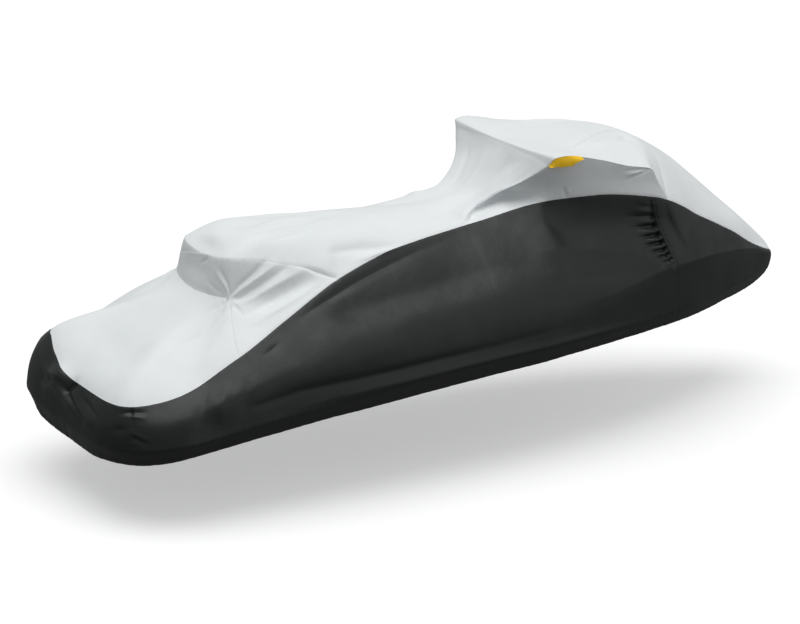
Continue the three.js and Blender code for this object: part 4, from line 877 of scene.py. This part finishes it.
# Side panels: the long charcoal panels from the stern corner to the bow seam, of the same woven
# polyester with a satin coating, pulled tight over the ridge low down on the side
CHARCOAL_PALE, CHARCOAL_DEEP = (0.0085, 0.0105, 0.0096), (0.0068, 0.0086, 0.0078)
charcoal_cloth = woven_polyester("charcoal_cloth", CHARCOAL_PALE, CHARCOAL_DEEP, 0.42, 0.0, 0.36)
flank_lines = lines_between(FOLD_LINE, BOUNDARY_LINE)
sew("side_cloth", "side_panel", charcoal_cloth,
    stations_between(STERN_CORNER, BOW_SEAM), flank_lines)


# Stern panel: the charcoal panel across the stern, from corner seam to corner seam, sewn to the deck
# panel above and to the hem bands below
sew("stern_cloth", "stern_panel", charcoal_cloth,
    stations_between(0, STERN_CORNER), flank_lines, across=True)


# Bow panels: the charcoal panels forward of the elastic bow seam, sewn to the top panel above and to
# the hem bands below. They meet at the bow tip
sew("bow_cloth", "bow_panel", charcoal_cloth,
    stations_between(BOW_SEAM, BOW_TIP), flank_lines)


# Hem bands: the near-black strips along the bottom, turned inwards and gathered on an elastic cord in
# their lower edge. They meet at the stern and at the bow
HEM_PALE, HEM_DEEP = (0.005, 0.0062, 0.0055), (0.004, 0.005, 0.0045)
hem_cloth = woven_polyester("hem_cloth", HEM_PALE, HEM_DEEP, 0.45, 0.0, 0.5)
GATHERS = ((46.0, 0.5, 0.2), (29.0, 0.35, 1.9), (71.0, 0.4, 0.8))   # wave length, share, phase
GATHER_HEIGHT = 0.6
CASING_WIDTH, CASING_BULGE = 22.0, 1.8
seamed = np.zeros(len(all_stations))
for side, name in ((1, "starboard"), (-1, "port")):
    grid = cloth_grid(all_stations, lines_between(HEM_LINE, FOLD_LINE), side, high=seamed,
                      start=True, end=True)
    along, upward = np.abs(grid["uv"][..., 0]), np.abs(grid["uv"][..., 1])
    ripple = sum(share * np.sin(2 * math.pi * along / length + phase + side)
                 for length, share, phase in GATHERS)
    drawn = 1 - smoothstep(0, 1, upward / upward[:, -1:])
    casing = CASING_BULGE * np.sin(math.pi * np.clip(upward / CASING_WIDTH, 0, 1))
    grid["points"] += grid["normals"] * (GATHER_HEIGHT * ripple * drawn + casing)[..., None]
    finish_panel(cloth_panel(f"hem_cloth_{name}", [grid]), f"hem_band_{name}",
                 hem_cloth)


# Yellow tag: a plain coated tag, sewn into the gusset's upper seam beside the starboard grip, from
# which it hangs slack and a little curled. Its drop changes along the seam. A row is share, drop
TAG_START, TAG_END = 6.99, 7.35
TAG_DROP = [(0, 3), (0.38, 43), (0.68, 50), (1, 10)]
TAG_STANDOFF, TAG_CURL, TAG_FLARE, TAG_THICKNESS = 5, 3, 22, 1
TAG_STEPS = (40, 16)
TAG_PALE, TAG_DEEP = (0.95, 0.58, 0.016), (0.92, 0.55, 0.014)
tag_cloth = woven_polyester("tag_cloth", TAG_PALE, TAG_DEEP, 0.5, 0.0, 0.3)
tag_share = np.linspace(0, 1, TAG_STEPS[0] + 1)
drop_share = np.linspace(1, 0, TAG_STEPS[1] + 1)
tag_stations = TAG_START + (TAG_END - TAG_START) * tag_share
tag_sections = section_points(tag_stations)
gusset_height = np.linalg.norm(tag_sections[:, EDGE_LINE] - tag_sections[:, WAIST_LINE], axis=1)
tag_drop = np.interp(tag_share, *np.transpose(TAG_DROP)) / gusset_height
tag_points = cover_surface(tag_stations, EDGE_LINE - drop_share * tag_drop[:, None])
tag_points[..., 1] -= TAG_STANDOFF + TAG_CURL * np.sin(math.pi * drop_share) + TAG_FLARE * drop_share
tag_normals = unit(np.cross(np.gradient(tag_points, axis=0), np.gradient(tag_points, axis=1)))
tag_grid = {"points": tag_points, "normals": tag_normals,
            "uv": np.stack([run_length(tag_points, 0), run_length(tag_points, 1)], axis=-1), "side": 1}
finish_panel(cloth_panel("yellow_tag_cloth", [tag_grid], TAG_THICKNESS), "yellow_tag",
             tag_cloth)
